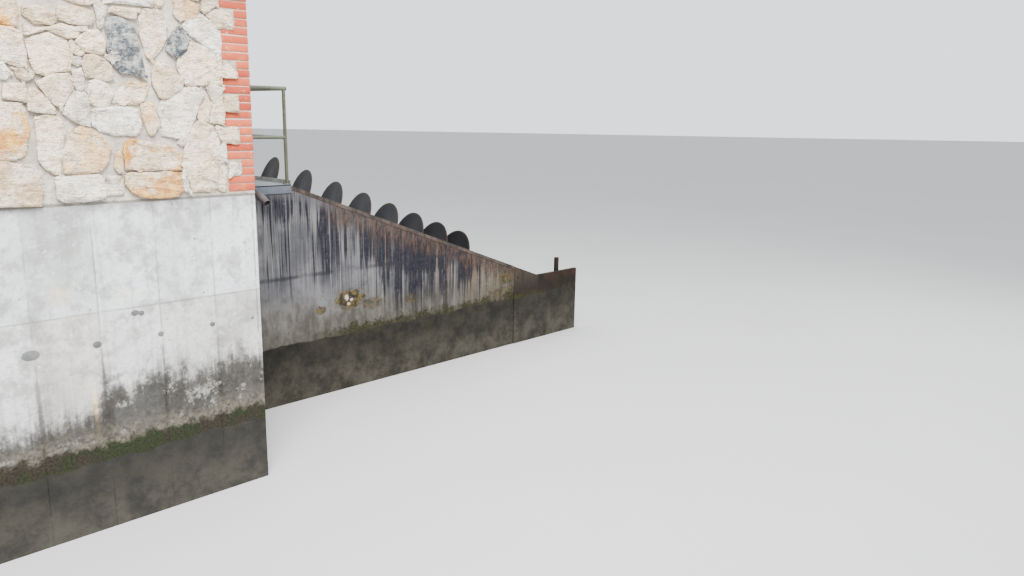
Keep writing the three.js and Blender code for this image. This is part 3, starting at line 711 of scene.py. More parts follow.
concrete = formedConcrete()
stainedConcrete = streakedConcrete()
mortar = mortarFinish()
limestone = stoneFinish()
redBrick = brickFinish()
deckPaint = sheetFinish('deck sheet', (0.098, 0.113, 0.128), (0.152, 0.168, 0.184), (0.085, 0.09, 0.078))
toePaint = sheetFinish('toe board sheet', (0.17, 0.185, 0.175), (0.26, 0.275, 0.255), (0.11, 0.115, 0.095))
roofPaint = sheetFinish('roof sheet', (0.095, 0.107, 0.12), (0.145, 0.16, 0.175), (0.08, 0.078, 0.065))
fasciaPaint = sheetFinish('fascia sheet', (0.074, 0.082, 0.099), (0.098, 0.108, 0.128),
                          (0.060, 0.060, 0.056), 0.3)
rust = rustySteel()
bladePaint = bladeFinish()
railPaint = railFinish()
eavesWood = boardFinish('eaves boards', 1.2, 30.0, 30.0)
rafterWood = boardFinish('rafters', 30.0, 1.5, 8.0)
deckWood = boardFinish('deck boards', 30.0, 1.2, 30.0)
castIron = castFinish('painted casting', (0.03, 0.037, 0.043), (0.06, 0.07, 0.077))
pipeClay = castFinish('drain pipe', (0.044, 0.036, 0.038), (0.086, 0.071, 0.075), 0.65, 0.0, 0.15)
# painted shade: a near-black finish for the strip under the lip of the deck sheets
shadowStripPaint = castFinish('painted shadow strip', (0.004, 0.0045, 0.005), (0.010, 0.011, 0.012), 0.8, 0.0, 0.0)
groutGrey = castFinish('tie hole grout', (0.075, 0.078, 0.075), (0.135, 0.14, 0.135), 0.85, 0.0, 0.0)
print('materials made')

nodeFinishes = {
    concrete: ['base_wall_near', 'base_wall_far', 'base_wall_downstream', 'base_wall_upstream', 'culvert',
               'house_floor'],
    mortar: ['stone_wall_near', 'stone_wall_far', 'gable_downstream', 'gable_upstream'],
    stainedConcrete: ['channel_wall_near', 'channel_wall_far', 'channel_bed', 'bearing_pier'],
    rust: ['edge_angle_near', 'edge_angle_far', 'end_plate_near', 'stub_post', 'bearing_beam',
           'deck_bearer_1', 'deck_bearer_2', 'deck_bearer_3'],
    deckPaint: ['deck_plate', 'deck_fascia_near', 'deck_fascia_far'],
    toePaint: ['toe_board'],
    roofPaint: ['roof_slope_near', 'roof_slope_far', 'ridge_cap'],
    eavesWood: ['eaves_board_near', 'eaves_board_far'],
    rafterWood: ['bargeboard_downstream', 'bargeboard_upstream'],
    railPaint: ['railing_near', 'railing_end', 'railing_far'],
    castIron: ['upper_bearing', 'lower_bearing'],
    pipeClay: ['drain_pipe'],
    bladePaint: ['trough_liner', 'screw_tube', 'upper_journal', 'lower_journal', 'flight_1', 'flight_2',
                 'flight_3'],
}
for finish, names in nodeFinishes.items():
    for name in names:
        node = frame['nodes'][name]
        node.data.materials.clear()
        node.data.materials.append(finish)
print('frame finished')

# Stage: floor, soft lights and the camera at the photograph's viewing angle. A light is its name, its place,
# what it is aimed at, its size and its power.
stage = {'floor': 600.0, 'sky': 1.98, 'skyColour': (0.90, 0.93, 0.97, 1.0), 'lens': 28.2125,
         'camera': (-4.84535, -10.190, 3.7352), 'heading': 0.7654, 'pitch': 0.2092, 'roll': 0.0176,
         'lights': [('key', (-5.0, -10.0, 14.0), (-1.5, -1.5, 2.0), 8.0, 8800.0),
                    ('fill', (12.0, -9.0, 8.0), (1.0, 0.0, 1.5), 8.0, 1270.0),
                    ('top', (0.0, 3.0, 14.0), (0.0, 0.0, 1.0), 10.0, 1600.0)]}


def buildStage():
    deselectAll()
    bpy.ops.mesh.primitive_plane_add(size=stage['floor'], location=(0, 0, 0))
    floor = bpy.context.object
    floor.name = 'floor'
    floor.data.materials.append(floorFinish())

    world = bpy.data.worlds.new('studio')
    world.use_nodes = True
    sky = world.node_tree.nodes['Background'].inputs
    sky['Color'].default_value = stage['skyColour']
    sky['Strength'].default_value = stage['sky']
    bpy.context.scene.world = world

    for name, place, aim, size, power in stage['lights']:
        bpy.ops.object.light_add(type='AREA', location=place)
        light = bpy.context.object
        light.name = name
        light.data.shape = 'DISK'
        light.data.size = size
        light.data.energy = power
        light.rotation_euler = (Vector(aim) - Vector(place)).to_track_quat('-Z', 'Y').to_euler()

    bpy.ops.object.camera_add()
    camera = bpy.context.object
    camera.data.lens = stage['lens']
    camera.data.sensor_width = 36.0
    camera.data.clip_end = 200.0
    turn = (Matrix.Rotation(stage['heading'] - math.pi / 2, 4, 'Z')
            @ Matrix.Rotation(math.pi / 2 - stage['pitch'], 4, 'X') @ Matrix.Rotation(stage['roll'], 4, 'Z'))
    camera.matrix_world = Matrix.Translation(stage['camera']) @ turn
    bpy.context.scene.camera = camera


buildStage()
print('stage set')

# Rubble facing: cells are cut round a seed for each stone, then raised, chamfered and roughened
rubble = {'joint': 0.0065, 'sunk': 0.03, 'proud': (0.014, 0.031), 'tilt': 2.2, 'split': 0.3, 'small': 0.12,
          'large': 0.23, 'corner': 0.010, 'shortest': 0.012, 'ragged': 0.006, 'spread': 0.019, 'rim': 0.006,
          'crown': 0.016, 'lumps': 0.024, 'facets': -0.016, 'chips': 0.010, 'shadow': 0.012, 'claim': 0.022,
          'throws': 9000, 'fullSized': 4000, 'crowding': 0.86, 'neighbours': 24, 'mortarMesh': 0.035}

# The stones of the near wall beside the channel: the kind of each, then its corners along the wall and in
# height, in centimetres
seenStones = [
    ('b', (-330, 298, -282, 297, -279, 310, -281, 322, -286, 329, -300, 331, -310, 334, -330, 336)),
    ('w', (-269, 302, -262, 299, -250, 299, -236, 300, -232, 303, -233, 317, -236, 320, -252, 320, -269,
           319)),
    ('h', (-230, 303, -217, 303, -216, 312, -217, 318, -229, 318, -231, 310)),
    ('o', (-210, 305, -203, 300, -193, 298, -172, 298, -165, 302, -165, 312, -166, 320, -180, 321, -195, 320,
           -208, 321, -213, 320, -214, 312)),
    ('o', (-213, 324, -200, 323, -185, 323, -166, 322, -165, 333, -168, 342, -180, 344, -190, 346, -200, 349,
           -210, 348, -213, 340)),
    ('y', (-223, 327, -220, 322, -216, 322, -216, 333, -218, 340, -221, 336)),
    ('y', (-262, 323, -245, 322, -234, 324, -228, 331, -225, 342, -230, 350, -238, 357, -246, 360, -253, 356,
           -257, 348, -261, 338)),
    ('c', (-280, 366, -280, 334, -276, 327, -270, 322, -265, 322, -262, 340, -260, 352, -259, 362, -263, 368,
           -270, 369)),
    ('o', (-316, 336, -295, 335, -289, 338, -287, 347, -286, 360, -287, 370, -288, 377, -295, 378, -305, 377,
           -316, 379)),
    ('c', (-300, 381, -290, 381, -286, 380, -284, 386, -286, 393, -299, 393)),
    ('c', (-284, 373, -272, 371, -264, 371, -266, 376, -271, 382, -277, 388, -281, 390, -283, 384)),
    ('p', (-277, 395, -272, 396, -265, 400, -252, 402, -250, 396, -252, 388, -256, 382, -260, 375, -264, 378,
           -269, 384, -273, 390)),
    ('h', (-249, 405, -249, 393, -246, 389, -241, 391, -241, 400, -242, 406)),
    ('h', (-259, 371, -253, 366, -246, 362, -240, 360, -239, 372, -239, 386, -244, 387, -250, 387, -255,
           380)),
    ('c', (-237, 380, -233, 377, -225, 377, -221, 382, -220, 388, -223, 395, -231, 398, -237, 396, -238,
           388)),
    ('w', (-237, 361, -230, 356, -220, 354, -205, 353, -199, 355, -198, 365, -200, 375, -210, 376, -222, 376,
           -234, 375, -237, 372)),
    ('y', (-219, 381, -212, 379, -200, 379, -195, 382, -191, 388, -188, 396, -195, 398, -203, 397, -210, 394,
           -216, 388)),
    ('y', (-196, 370, -194, 360, -191, 353, -186, 354, -183, 362, -184, 374, -187, 381, -192, 381, -196,
           378)),
    ('w', (-180, 353, -170, 352, -157, 350, -154, 357, -150, 368, -145, 379, -139, 389, -143, 394, -153, 395,
           -160, 393, -168, 388, -177, 384, -181, 374, -179, 362)),
    ('c', (-147, 368, -142, 365, -137, 366, -134, 375, -133, 383, -138, 384, -142, 380, -145, 374)),
    ('c', (-135, 365, -129, 364, -122, 362, -121, 375, -121, 388, -125, 390, -128, 385, -131, 380, -134,
           372)),
    ('h', (-136, 393, -133, 387, -130, 382, -126, 387, -122, 392, -121, 396, -129, 397, -137, 396)),
    ('c', (-155, 302, -140, 301, -122, 300, -121, 312, -121, 326, -125, 330, -127, 342, -129, 350, -133, 360,
           -140, 364, -147, 365, -152, 360, -156, 350, -161, 340, -162, 330, -160, 320, -157, 310)),
    ('w', (-164, 303, -158, 302, -160, 312, -162, 314, -164, 312)),
    ('w', (-165, 316, -162, 315, -161, 322, -164, 328)),
    ('h', (-166, 346, -164, 344, -160, 344, -158, 347, -161, 349, -165, 349)),
    ('c', (-130, 360, -127, 353, -124, 346, -110, 345, -107, 347, -107, 358, -110, 360, -120, 360)),
    ('w', (-125, 330, -121, 329, -121, 344, -125, 344, -127, 338)),
    ('w', (-119, 315, -107, 316, -107, 326, -118, 327)),
    ('b', (-120, 375, -107, 374, -107, 389, -120, 389)),
    ('c', (-120, 406, -107, 406, -107, 411, -112, 415, -119, 419)),
    ('c', (-133, 460, -128, 454, -124, 449, -108, 449, -108, 461, -118, 464, -125, 464)),
    ('p', (-185, 405, -184, 395, -180, 386, -177, 384, -170, 387, -160, 393, -159, 400, -165, 408, -171, 412,
           -179, 416, -182, 412)),
    ('c', (-158, 401, -156, 397, -140, 398, -122, 398, -120, 408, -121, 420, -126, 423, -133, 430, -140, 433,
           -148, 436, -152, 428, -160, 420, -162, 412)),
    ('w', (-155, 446, -150, 442, -145, 438, -138, 434, -131, 429, -124, 422, -121, 430, -121, 444, -125, 448,
           -130, 453, -136, 458, -145, 457, -152, 452)),
    ('g', (-171, 426, -165, 421, -160, 422, -154, 428, -151, 435, -153, 442, -159, 446, -164, 442, -168,
           434)),
    ('p', (-193, 438, -190, 428, -188, 419, -184, 416, -180, 421, -175, 429, -170, 437, -169, 446, -171, 456,
           -178, 459, -188, 458, -192, 450)),
    ('g', (-217, 412, -210, 405, -199, 404, -190, 402, -192, 414, -194, 428, -196, 438, -200, 444, -205, 450,
           -214, 449, -220, 442, -220, 425)),
    ('c', (-216, 454, -208, 451, -198, 450, -193, 456, -194, 458, -212, 458)),
    ('w', (-220, 460, -182, 461, -180, 466, -184, 472, -200, 474, -218, 473)),
    ('c', (-179, 464, -177, 461, -172, 462, -170, 468, -174, 472, -179, 471)),
    ('y', (-162, 457, -157, 452, -150, 454, -142, 459, -140, 466, -150, 470, -161, 468)),
    ('c', (-137, 462, -134, 460, -127, 466, -122, 467, -124, 471, -136, 470)),
    ('b', (-238, 417, -230, 418, -223, 414, -219, 409, -218, 399, -224, 398, -232, 400, -239, 400, -240,
           408)),
    ('h', (-222, 418, -220, 415, -216, 412, -215, 417, -217, 420)),
    ('c', (-244, 427, -238, 421, -230, 420, -223, 420, -223, 430, -227, 437, -234, 437, -241, 432)),
    ('c', (-249, 419, -243, 417, -239, 419, -242, 424, -247, 428, -249, 426)),
    ('h', (-249, 416, -242, 415, -241, 410, -245, 409, -249, 411)),
    ('c', (-280, 426, -279, 412, -276, 403, -270, 400, -262, 403, -251, 405, -250, 415, -251, 427, -256, 428,
           -263, 432, -270, 431)),
    ('p', (-302, 412, -295, 409, -288, 406, -283, 406, -282, 418, -283, 431, -290, 434, -302, 436)),
    ('b', (-292, 405, -290, 399, -284, 395, -279, 398, -277, 403, -283, 404, -288, 405)),
    ('w', (-310, 409, -298, 408, -293, 400, -298, 396, -312, 396)),
    ('o', (-310, 438, -295, 437, -287, 435, -284, 445, -285, 455, -310, 456)),
    ('b', (-280, 444, -272, 440, -262, 439, -258, 442, -260, 449, -270, 452, -280, 451)),
    ('c', (-281, 438, -280, 429, -272, 433, -264, 434, -257, 432, -250, 429, -246, 430, -242, 434, -236, 439,
           -244, 440, -256, 440, -264, 437, -273, 437)),
    ('b', (-257, 443, -246, 442, -234, 441, -230, 445, -231, 452, -242, 455, -255, 453)),
    ('h', (-227, 441, -222, 440, -221, 450, -217, 456, -222, 461, -228, 458)),
]
# shade, ochre, slate and white share of each kind of stone
stoneKinds = {'c': (0.75, 0.10, 0.0, 0.0), 'b': (0.25, 0.22, 0.0, 0.0), 'y': (0.6, 0.55, 0.0, 0.0),
              'o': (0.5, 1.0, 0.0, 0.0), 'w': (0.9, 0.0, 0.0, 0.85), 'g': (0.5, 0.0, 1.0, 0.0),
              'p': (0.5, 0.25, 0.0, 0.35), 'h': (0.4, 0.0, 0.12, 0.6)}
commonKinds = 'cccccccbbbyyowwpphh'  # what the other stones are picked from
drawnTop = 4.6  # the height where the drawn stones end

# Brick corners. Of the pairs of courses, w is one laid with its long side along X, and n one laid across.
quoin = {'long': 0.27, 'short': 0.13, 'height': 0.065, 'course': 0.076, 'joint': 0.011, 'proud': 0.006,
         'bevel': 0.005, 'pairs': 'wnwnwnwnwwnwnwnwn', 'gap': 0.004, 'loose': 0.002}
quoin['bottom'] = house['base'] + 0.05


def tracedStones():  # each drawn stone as its kind and its corners, in metres
    return [(kind, [Vector((x / 100, z / 100)) for x, z in zip(places[::2], places[1::2])])
            for kind, places in seenStones]


def centreOf(corners):
    return sum(corners, Vector((0, 0))) / len(corners)


def widened(corners, reach):
    middle = centreOf(corners)
    return [corner + (corner - middle).normalized() * reach for corner in corners]


# The seeds of a wall, thrown at random wherever there is room for one. Those given only keep others away.
def throwSeeds(borders, box, given, rng):
    seeds = list(given)
    for attempt in range(rubble['throws']):
        half = rng.uniform(rubble['small'], rubble['large']) * (1.0 if attempt < rubble['fullSized'] else 0.8)
        place = Vector((rng.uniform(box[0], box[1]), rng.uniform(box[2], box[3])))
        if not all((place - edge).dot(way) < 0 for edge, way in borders):
            continue
        if all((place - seed).length > rubble['crowding'] * (half + other) for seed, other, _ in seeds):
            seeds.append((place, half, rng.choice(commonKinds)))
    return seeds


# The line between two stones stands nearer the smaller one
def dividing(seed, other):
    way = other[0] - seed[0]
    share = (way.length_squared + seed[1] ** 2 - other[1] ** 2) / (2 * way.length_squared)
    return seed[0] + way * share, way


def tiltStone(middle, rng):
    for axis in 'XZ':
        bpy.ops.transform.rotate(value=math.radians(rng.uniform(-1, 1) * rubble['tilt']), orient_axis=axis,
                                 center_override=middle)
    bpy.ops.mesh.hide(unselected=False)


def trim(borders):  # the open mesh loses what lies outside
    for edge, way in borders:
        selectMesh()
        bpy.ops.mesh.bisect(plane_co=(edge.x, 0, edge.y), plane_no=(way.x, 0, way.y), clear_outer=True)


def cutCell(place, borders, rng, splitting=0.0):
    depth = rubble['sunk'] - rng.uniform(*rubble['proud'])
    bpy.ops.mesh.primitive_plane_add(size=1.8, location=(place.x, depth, place.y),
                                     rotation=(math.pi / 2, 0, 0))
    trim(borders)
    selectMesh()
    if rng.random() < splitting:
        turn = rng.uniform(0, math.pi)
        bpy.ops.mesh.bisect(plane_co=(place.x, 0, place.y), plane_no=(math.cos(turn), 0, math.sin(turn)))
        selectMesh()
    tiltStone((place.x, depth, place.y), rng)


# A drawn stone, as a flat face a little larger than it shows, because its rim is drawn in again
def drawStone(corners, rng):
    deselectAll()
    bpy.ops.mesh.primitive_circle_add(vertices=len(corners), radius=1, fill_type='NGON')
    stone = bpy.context.object
    middle = centreOf(corners)
    depth = rubble['sunk'] - rng.uniform(*rubble['proud'])
    for vertex, corner in zip(stone.data.vertices, widened(corners, rubble['spread'])):
        vertex.co = (corner.x, depth, corner.y)
    setMode('EDIT')
    selectMesh()
    bpy.ops.mesh.normals_make_consistent(inside=False)
    tiltStone((middle.x, depth, middle.y), rng)
    bpy.ops.mesh.reveal(select=True)
    setMode('OBJECT')
    if stone.data.polygons[0].normal.y > 0:
        stone.data.flip_normals()
    return stone


# The flat faces are drawn in to leave the joints, stood out of the mortar, and their fronts split and chipped
def raiseStones(piece, seed, cuts):
    bpy.ops.mesh.reveal(select=True)
    selectMesh()
    bpy.ops.mesh.dissolve_degenerate(threshold=rubble['shortest'])
    bpy.ops.mesh.select_mode(type='FACE')
    bpy.ops.mesh.inset(thickness=rubble['joint'], use_individual=True)
    bpy.ops.mesh.select_all(action='INVERT')
    bpy.ops.mesh.delete(type='FACE')
    selectMesh()
    bpy.ops.mesh.dissolve_degenerate(threshold=rubble['shortest'])
    bpy.ops.mesh.bevel(offset=rubble['corner'], segments=1, affect='VERTICES', clamp_overlap=True)
    selectMesh()
    bpy.ops.mesh.dissolve_degenerate(threshold=0.003)
    bpy.ops.mesh.subdivide(number_cuts=1)
    bpy.ops.transform.vertex_random(offset=rubble['ragged'], uniform=0.4, normal=0, seed=seed)
    selectMesh()
    bpy.ops.mesh.select_mode(type='FACE')
    for width, rise in ((0.001, rubble['sunk']), (rubble['rim'], 0.005), (rubble['crown'], 0.004)):
        bpy.ops.mesh.inset(thickness=width, depth=rise, use_individual=True, use_even_offset=False)
    bpy.ops.mesh.quads_convert_to_tris(quad_method='BEAUTY', ngon_method='BEAUTY')
    bpy.ops.mesh.subdivide(number_cuts=cuts)
    bpy.ops.mesh.beautify_fill()
    bpy.ops.mesh.select_mode(type='VERT')
    setMode('OBJECT')
    roughen(piece, 'lumps', 0.11, rubble['lumps'])
    roughen(piece, 'chips', 0.030, rubble['chips'])
    roughen(piece, 'facets', 0.075, rubble['facets'], 'Y', 'VORONOI')


def within(points, corners):  # which points lie inside an outline
    inside = np.zeros(len(points), bool)
    for first, last in zip(corners, corners[1:] + corners[:1]):
        over = (points[:, 1] < first.y) != (points[:, 1] < last.y)
        share = (points[:, 1] - first.y) / ((last.y - first.y) or 1e-9)
        inside ^= over & (points[:, 0] < first.x + share * (last.x - first.x))
    return inside


# Each face takes the shade of the stone it belongs to
def markStones(piece, seeds, drawn, rng):
    spots = np.array([tuple(seed[0]) for seed in seeds])
    sizes = np.array([seed[1] for seed in seeds])

    def shadeOf(kind):
        shade, ochre, slate, white = stoneKinds[kind]
        return (shade + rng.uniform(-0.25, 0.25), ochre * rng.uniform(0.8, 1.0), slate,
                white * rng.uniform(0.7, 1.0))

    own = np.array([shadeOf(seed[2]) for seed in seeds])
    count = len(piece.data.polygons)
    centres = np.zeros(count * 3)
    piece.data.polygons.foreach_get('center', centres)
    centres = centres.reshape(-1, 3)[:, [0, 2]]
    nearest = np.zeros(count, int)
    for first in range(0, count, 20000):
        some = centres[first:first + 20000]
        away = ((some[:, None] - spots[None]) ** 2).sum(2) - sizes[None] ** 2
        nearest[first:first + 20000] = away.argmin(1)
    shades = own[nearest]
    for kind, corners in drawn:
        shades[within(centres, widened(corners, rubble['claim']))] = shadeOf(kind)
    loops = np.zeros(count, int)
    piece.data.polygons.foreach_get('loop_total', loops)
    colours = np.clip(shades, 0, 1)[np.repeat(np.arange(count), loops)]
    mark = piece.data.color_attributes.new('stone', 'FLOAT_COLOR', 'CORNER')
    mark.data.foreach_set('color', colours.ravel())
    # how far each point lies behind the stone fronts, which the stone finish turns into painted shade in the
    # joints
    places = np.zeros(len(piece.data.vertices) * 3)
    piece.data.vertices.foreach_get('co', places)
    mark = piece.data.attributes.new('depth', 'FLOAT', 'POINT')
    mark.data.foreach_set('value', np.clip(places[1::3] / rubble['shadow'] + 1.2, 0, 1))


# The place beside a narrow pair of courses, filled by one small stone. The drawn stones have their own, up to
# the height where the drawing ends.
def notchCells(start, end, narrow, rng, drawn):
    cells = []
    for number, kind in enumerate(quoin['pairs']):
        if kind != narrow:
            continue
        low = quoin['bottom'] + number * 2 * quoin['course']
        top = low + 2 * quoin['course'] - quoin['joint']
        for side, sign in ((start, 1), (end, -1)):
            if drawn and sign < 0 and low < drawnTop:
                continue
            first = side + sign * (quoin['short'] + quoin['gap'])
            last = side + sign * (quoin['long'] + quoin['gap'])
            middle = Vector(((first + last) / 2, low + quoin['course'] - 0.005))
            borders = [(Vector((first, middle.y)), Vector((-sign, 0.12 * rng.uniform(-1, 1)))),
                       (Vector((last, 0)), Vector((sign, 0))),
                       (Vector((middle.x, low)), Vector((0.1 * rng.uniform(-1, 1), -1))),
                       (Vector((middle.x, top)), Vector((0.1 * rng.uniform(-1, 1), 1)))]
            cells.append((middle, 0.05, rng.choice('cwwbp'), borders))
    return cells


# Mortar, laid full between the stones and uneven, cut to the wall's outline
def layMortar(name, borders, box, place, turn):
    piece = openPiece(name)
    wide, tall = box[1] - box[0], box[3] - box[2]
    bpy.ops.mesh.primitive_grid_add(x_subdivisions=round(wide / rubble['mortarMesh']),
                                    y_subdivisions=round(tall / rubble['mortarMesh']), size=1,
                                    location=((box[0] + box[1]) / 2, -0.003, (box[2] + box[3]) / 2),
                                    rotation=(math.pi / 2, 0, 0), scale=(wide, tall, 1))
    trim(borders)
    setMode('OBJECT')
    roughen(piece, 'mortarWave', 0.13, 0.014, 'Y')
    roughen(piece, 'mortarChip', 0.03, 0.006, 'Y')
    useModifier(piece, 'SOLIDIFY', thickness=0.016, offset=-1)
    piece.location, piece.rotation_euler = place, (0, 0, turn)
    finishPiece(piece, mortar, sharp=60)


def buildFacing(name, wall, seed, drawn):
    place, turn, start, end = wall
    gable = name.endswith('stream')
    rng = random.Random(seed)
    bottom, eaves = house['base'] + 0.030, house['eaves'] - 0.004
    left, right = start + quoin['long'] + quoin['gap'], end - quoin['long'] - quoin['gap']
    borders = [(Vector((left, 0)), Vector((-1, 0))), (Vector((right, 0)), Vector((1, 0))),
               (Vector((0, bottom)), Vector((0, -1)))]
    if gable:
        rise = math.tan(house['pitch'])
        ridge = Vector(((start + end) / 2, house['ridge'] - 0.02))
        borders += [(ridge, Vector((rise, 1))), (ridge, Vector((-rise, 1)))]
        top = house['ridge']
    else:
        borders.append((Vector((0, eaves)), Vector((0, 1))))
        top = eaves
    layMortar(f'mortar_{name}', borders[2:], (left - 0.13, right + 0.13, bottom - 0.025, top), place, turn)

    stones = []
    given = []
    for kind, corners in drawn:
        stones.append(drawStone(corners, rng))
        middle = centreOf(corners)
        given += [(corner.lerp(middle, 0.25), 0.03, kind) for corner in corners]
        given.append((middle, 0.03, kind))
    seeds = throwSeeds(borders, (left, right, bottom, top), given, rng)
    piece = openPiece('cells')
    for seed in seeds[len(given):]:
        others = sorted((other for other in seeds if other is not seed),
                        key=lambda other: (other[0] - seed[0]).length)
        lines = [dividing(seed, other) for other in others[:rubble['neighbours']]]
        cutCell(seed[0], borders + lines, rng, rubble['split'])
    for middle, half, kind, lines in notchCells(start, end, 'w' if gable else 'n', rng, drawn):
        cutCell(middle, lines, rng)
        seeds.append((middle, half, kind))
    bpy.ops.mesh.reveal(select=True)
    setMode('OBJECT')
    piece = joinPieces(f'rubble_{name}', [piece] + stones)
    setMode('EDIT')
    raiseStones(piece, rng.randrange(1000), 3 if drawn else 2)
    markStones(piece, seeds, drawn, rng)
    piece.location, piece.rotation_euler = place, (0, 0, turn)
    finishPiece(piece, limestone, sharp=24)


# Brick corners: courses in pairs, laid with their long side along one wall and then along the other
def buildQuoins():
    rng = random.Random(11)
    half, thin, loose = quoin['long'] / 2, quoin['short'] / 2, quoin['loose']
    brick = openPiece('brick')
    addBlock((-half, -thin, 0), (half, thin, quoin['height']), quoin['bevel'])
    setMode('OBJECT')
    bricks = []
    for cornerX, signX in ((house['back'], -1), (house['front'], 1)):
        for signY in (-1, 1):
            cornerY = signY * house['half']
            for number, kind in enumerate(quoin['pairs']):
                alongX = kind == 'w'
                reach = (quoin['long'], quoin['short']) if alongX else (quoin['short'], quoin['long'])
                for course in range(2):
                    z = quoin['bottom'] + (number * 2 + course) * quoin['course']
                    x = cornerX + signX * (quoin['proud'] + rng.uniform(-loose, loose) - reach[0] / 2)
                    y = cornerY + signY * (quoin['proud'] + rng.uniform(-loose, loose) - reach[1] / 2)
                    turn = (0 if alongX else math.pi / 2) + math.radians(rng.uniform(-0.4, 0.4))
                    twin = brick.copy()
                    twin.data = brick.data.copy()
                    bpy.context.collection.objects.link(twin)
                    twin.location, twin.rotation_euler = (x, y, z), (0, 0, turn)
                    mark = twin.data.attributes.new('brick', 'FLOAT', 'POINT')
                    mark.data.foreach_set('value', [rng.random()] * len(twin.data.vertices))
                    bricks.append(twin)
    bpy.data.objects.remove(brick)
    piece = joinPieces('quoin_bricks', bricks)
    pick(piece)
    bpy.ops.object.transform_apply(location=True, rotation=True, scale=True)
    setMode('EDIT')
    selectMesh()
    bpy.ops.mesh.subdivide(number_cuts=1)
    setMode('OBJECT')
    roughen(piece, 'brickEdge', 0.04, 0.006)
    finishPiece(piece, redBrick, sharp=40)


for number, (side, wall) in enumerate(walls.items()):
    buildFacing(side, wall, 5 + number, tracedStones() if side == 'near' else ())
buildQuoins()
print('house faced')

# The screw, in its own frame: Z down its axis, X square to it and up, and the near side at positive Y
screw = {'tube': 0.400, 'bore': 0.388, 'radius': 0.800, 'start': -0.285, 'end': 3.985, 'lead': 1.5825,
         'first': 60, 'last': -900, 'half': 0.005, 'seat': 0.4003, 'weld': 0.012, 'journal': 0.060,
         'shoulder': 0.085, 'upper': -0.560, 'lower': 4.225, 'liner': (0.814, 0.8235),
         'trough': (-0.300, 3.960), 'tubeSeams': (1.135, 2.56), 'linerSeams': (1.12, 2.54)}
axisZ = screwAxis['way'].normalized()
axisX = Vector((-axisZ.z, 0, axisZ.x))
screwFrame = Matrix.Translation(screwAxis['point']) @ Matrix((axisX, (0, -1, 0), axisZ)).transposed().to_4x4()


def placeOnScrew(piece, turn=0.0, along=0.0):
    turned = Matrix.Translation((0, 0, along)) @ Matrix.Rotation(math.radians(turn), 4, 'Z')
    piece.matrix_world = screwFrame @ turned


def buildFlights():
    half, seat, weld, rim = screw['half'], screw['seat'], screw['weld'], screw['radius']
    lower = [(seat, -half - weld), (seat + weld, -half), (0.52, -half), (0.66, -half), (rim - 0.0015, -half),
             (rim, -half + 0.0015)]
    corners = lower + [(radius, -along) for radius, along in reversed(lower)]
    turns = screw['last'] - screw['first']
    for number in range(3):
        piece = turnProfile(f'flight_plate_{number + 1}', corners, turns, 400, -turns / 360 * screw['lead'])
        placeOnScrew(piece, screw['first'] + 120 * number, -screw['first'] / 360 * screw['lead'])
        finishPiece(piece, bladePaint, 'screw', [f'flight_{number + 1}'], 40)


def buildTube():
    tube, bore, start, end = screw['tube'], screw['bore'], screw['start'], screw['end']
    corners = [(bore, start + 0.002), (bore + 0.002, start), (tube - 0.002, start), (tube, start + 0.002)]
    for seam in screw['tubeSeams']:  # the tube is welded from three lengths of plate
        corners += [(tube, seam - 0.008), (tube + 0.0025, seam - 0.003), (tube + 0.0025, seam + 0.003),
                    (tube, seam + 0.008)]
    corners += [(tube, end - 0.002), (tube - 0.002, end), (bore + 0.002, end), (bore, end - 0.002)]
    piece = turnProfile('tube_shell', corners, steps=96)
    placeOnScrew(piece)
    finishPiece(piece, bladePaint, 'screw', ['screw_tube'], 40)


def boltCircle(radius, height, way, count, first, size):
    for number in range(count):
        angle = math.radians(number * 360 // count + first)
        addBolt((radius * math.cos(angle), radius * math.sin(angle), height), (0, 0, way), size)


# An end disc with its shaft: face is the tube's end, outward the way the shaft goes
def buildJournal(name, face, outward, end, node):
    disc, thin, shoulder = screw['bore'] - 0.0003, screw['journal'], screw['shoulder']
    corners = [(0, -0.025), (disc, -0.025), (disc, -0.002), (disc - 0.006, 0), (shoulder + 0.012, 0),
               (shoulder, 0.012), (shoulder, 0.037), (shoulder - 0.003, 0.040), (thin, 0.040)]
    corners = [(radius, face + outward * along) for radius, along in corners]
    corners += [(thin, end - outward * 0.003), (thin - 0.003, end), (0, end)]
    piece = turnProfile(name, corners, steps=64)
    setMode('EDIT')
    boltCircle(0.325, face, outward, 12, 0, 0.016)
    setMode('OBJECT')
    placeOnScrew(piece)
    finishPiece(piece, bladePaint, 'screw', [node], 40)


def buildTrough():
    inner, outer = screw['liner']
    start, end = screw['trough']
    corners = [(inner, start), (inner, 1.10)]
    for seam in screw['linerSeams']:
        corners += [(inner, seam - 0.006), (inner - 0.002, seam), (inner, seam + 0.006)]
    corners += [(inner, end), (outer, end), (outer, start)]
    piece = turnProfile('trough_shell', corners, 180, 64)
    placeOnScrew(piece, 90)
    finishPiece(piece, bladePaint, 'plant', ['trough_liner'], 40)


# A bearing block: foot and neck stand upright, the drum and its covers lie along the shaft
bearing = {'play': 0.0006, 'foot': (0.075, 0.19, 0.0445), 'cheek': 0.125, 'rib': 0.094, 'footBolt': 0.162}


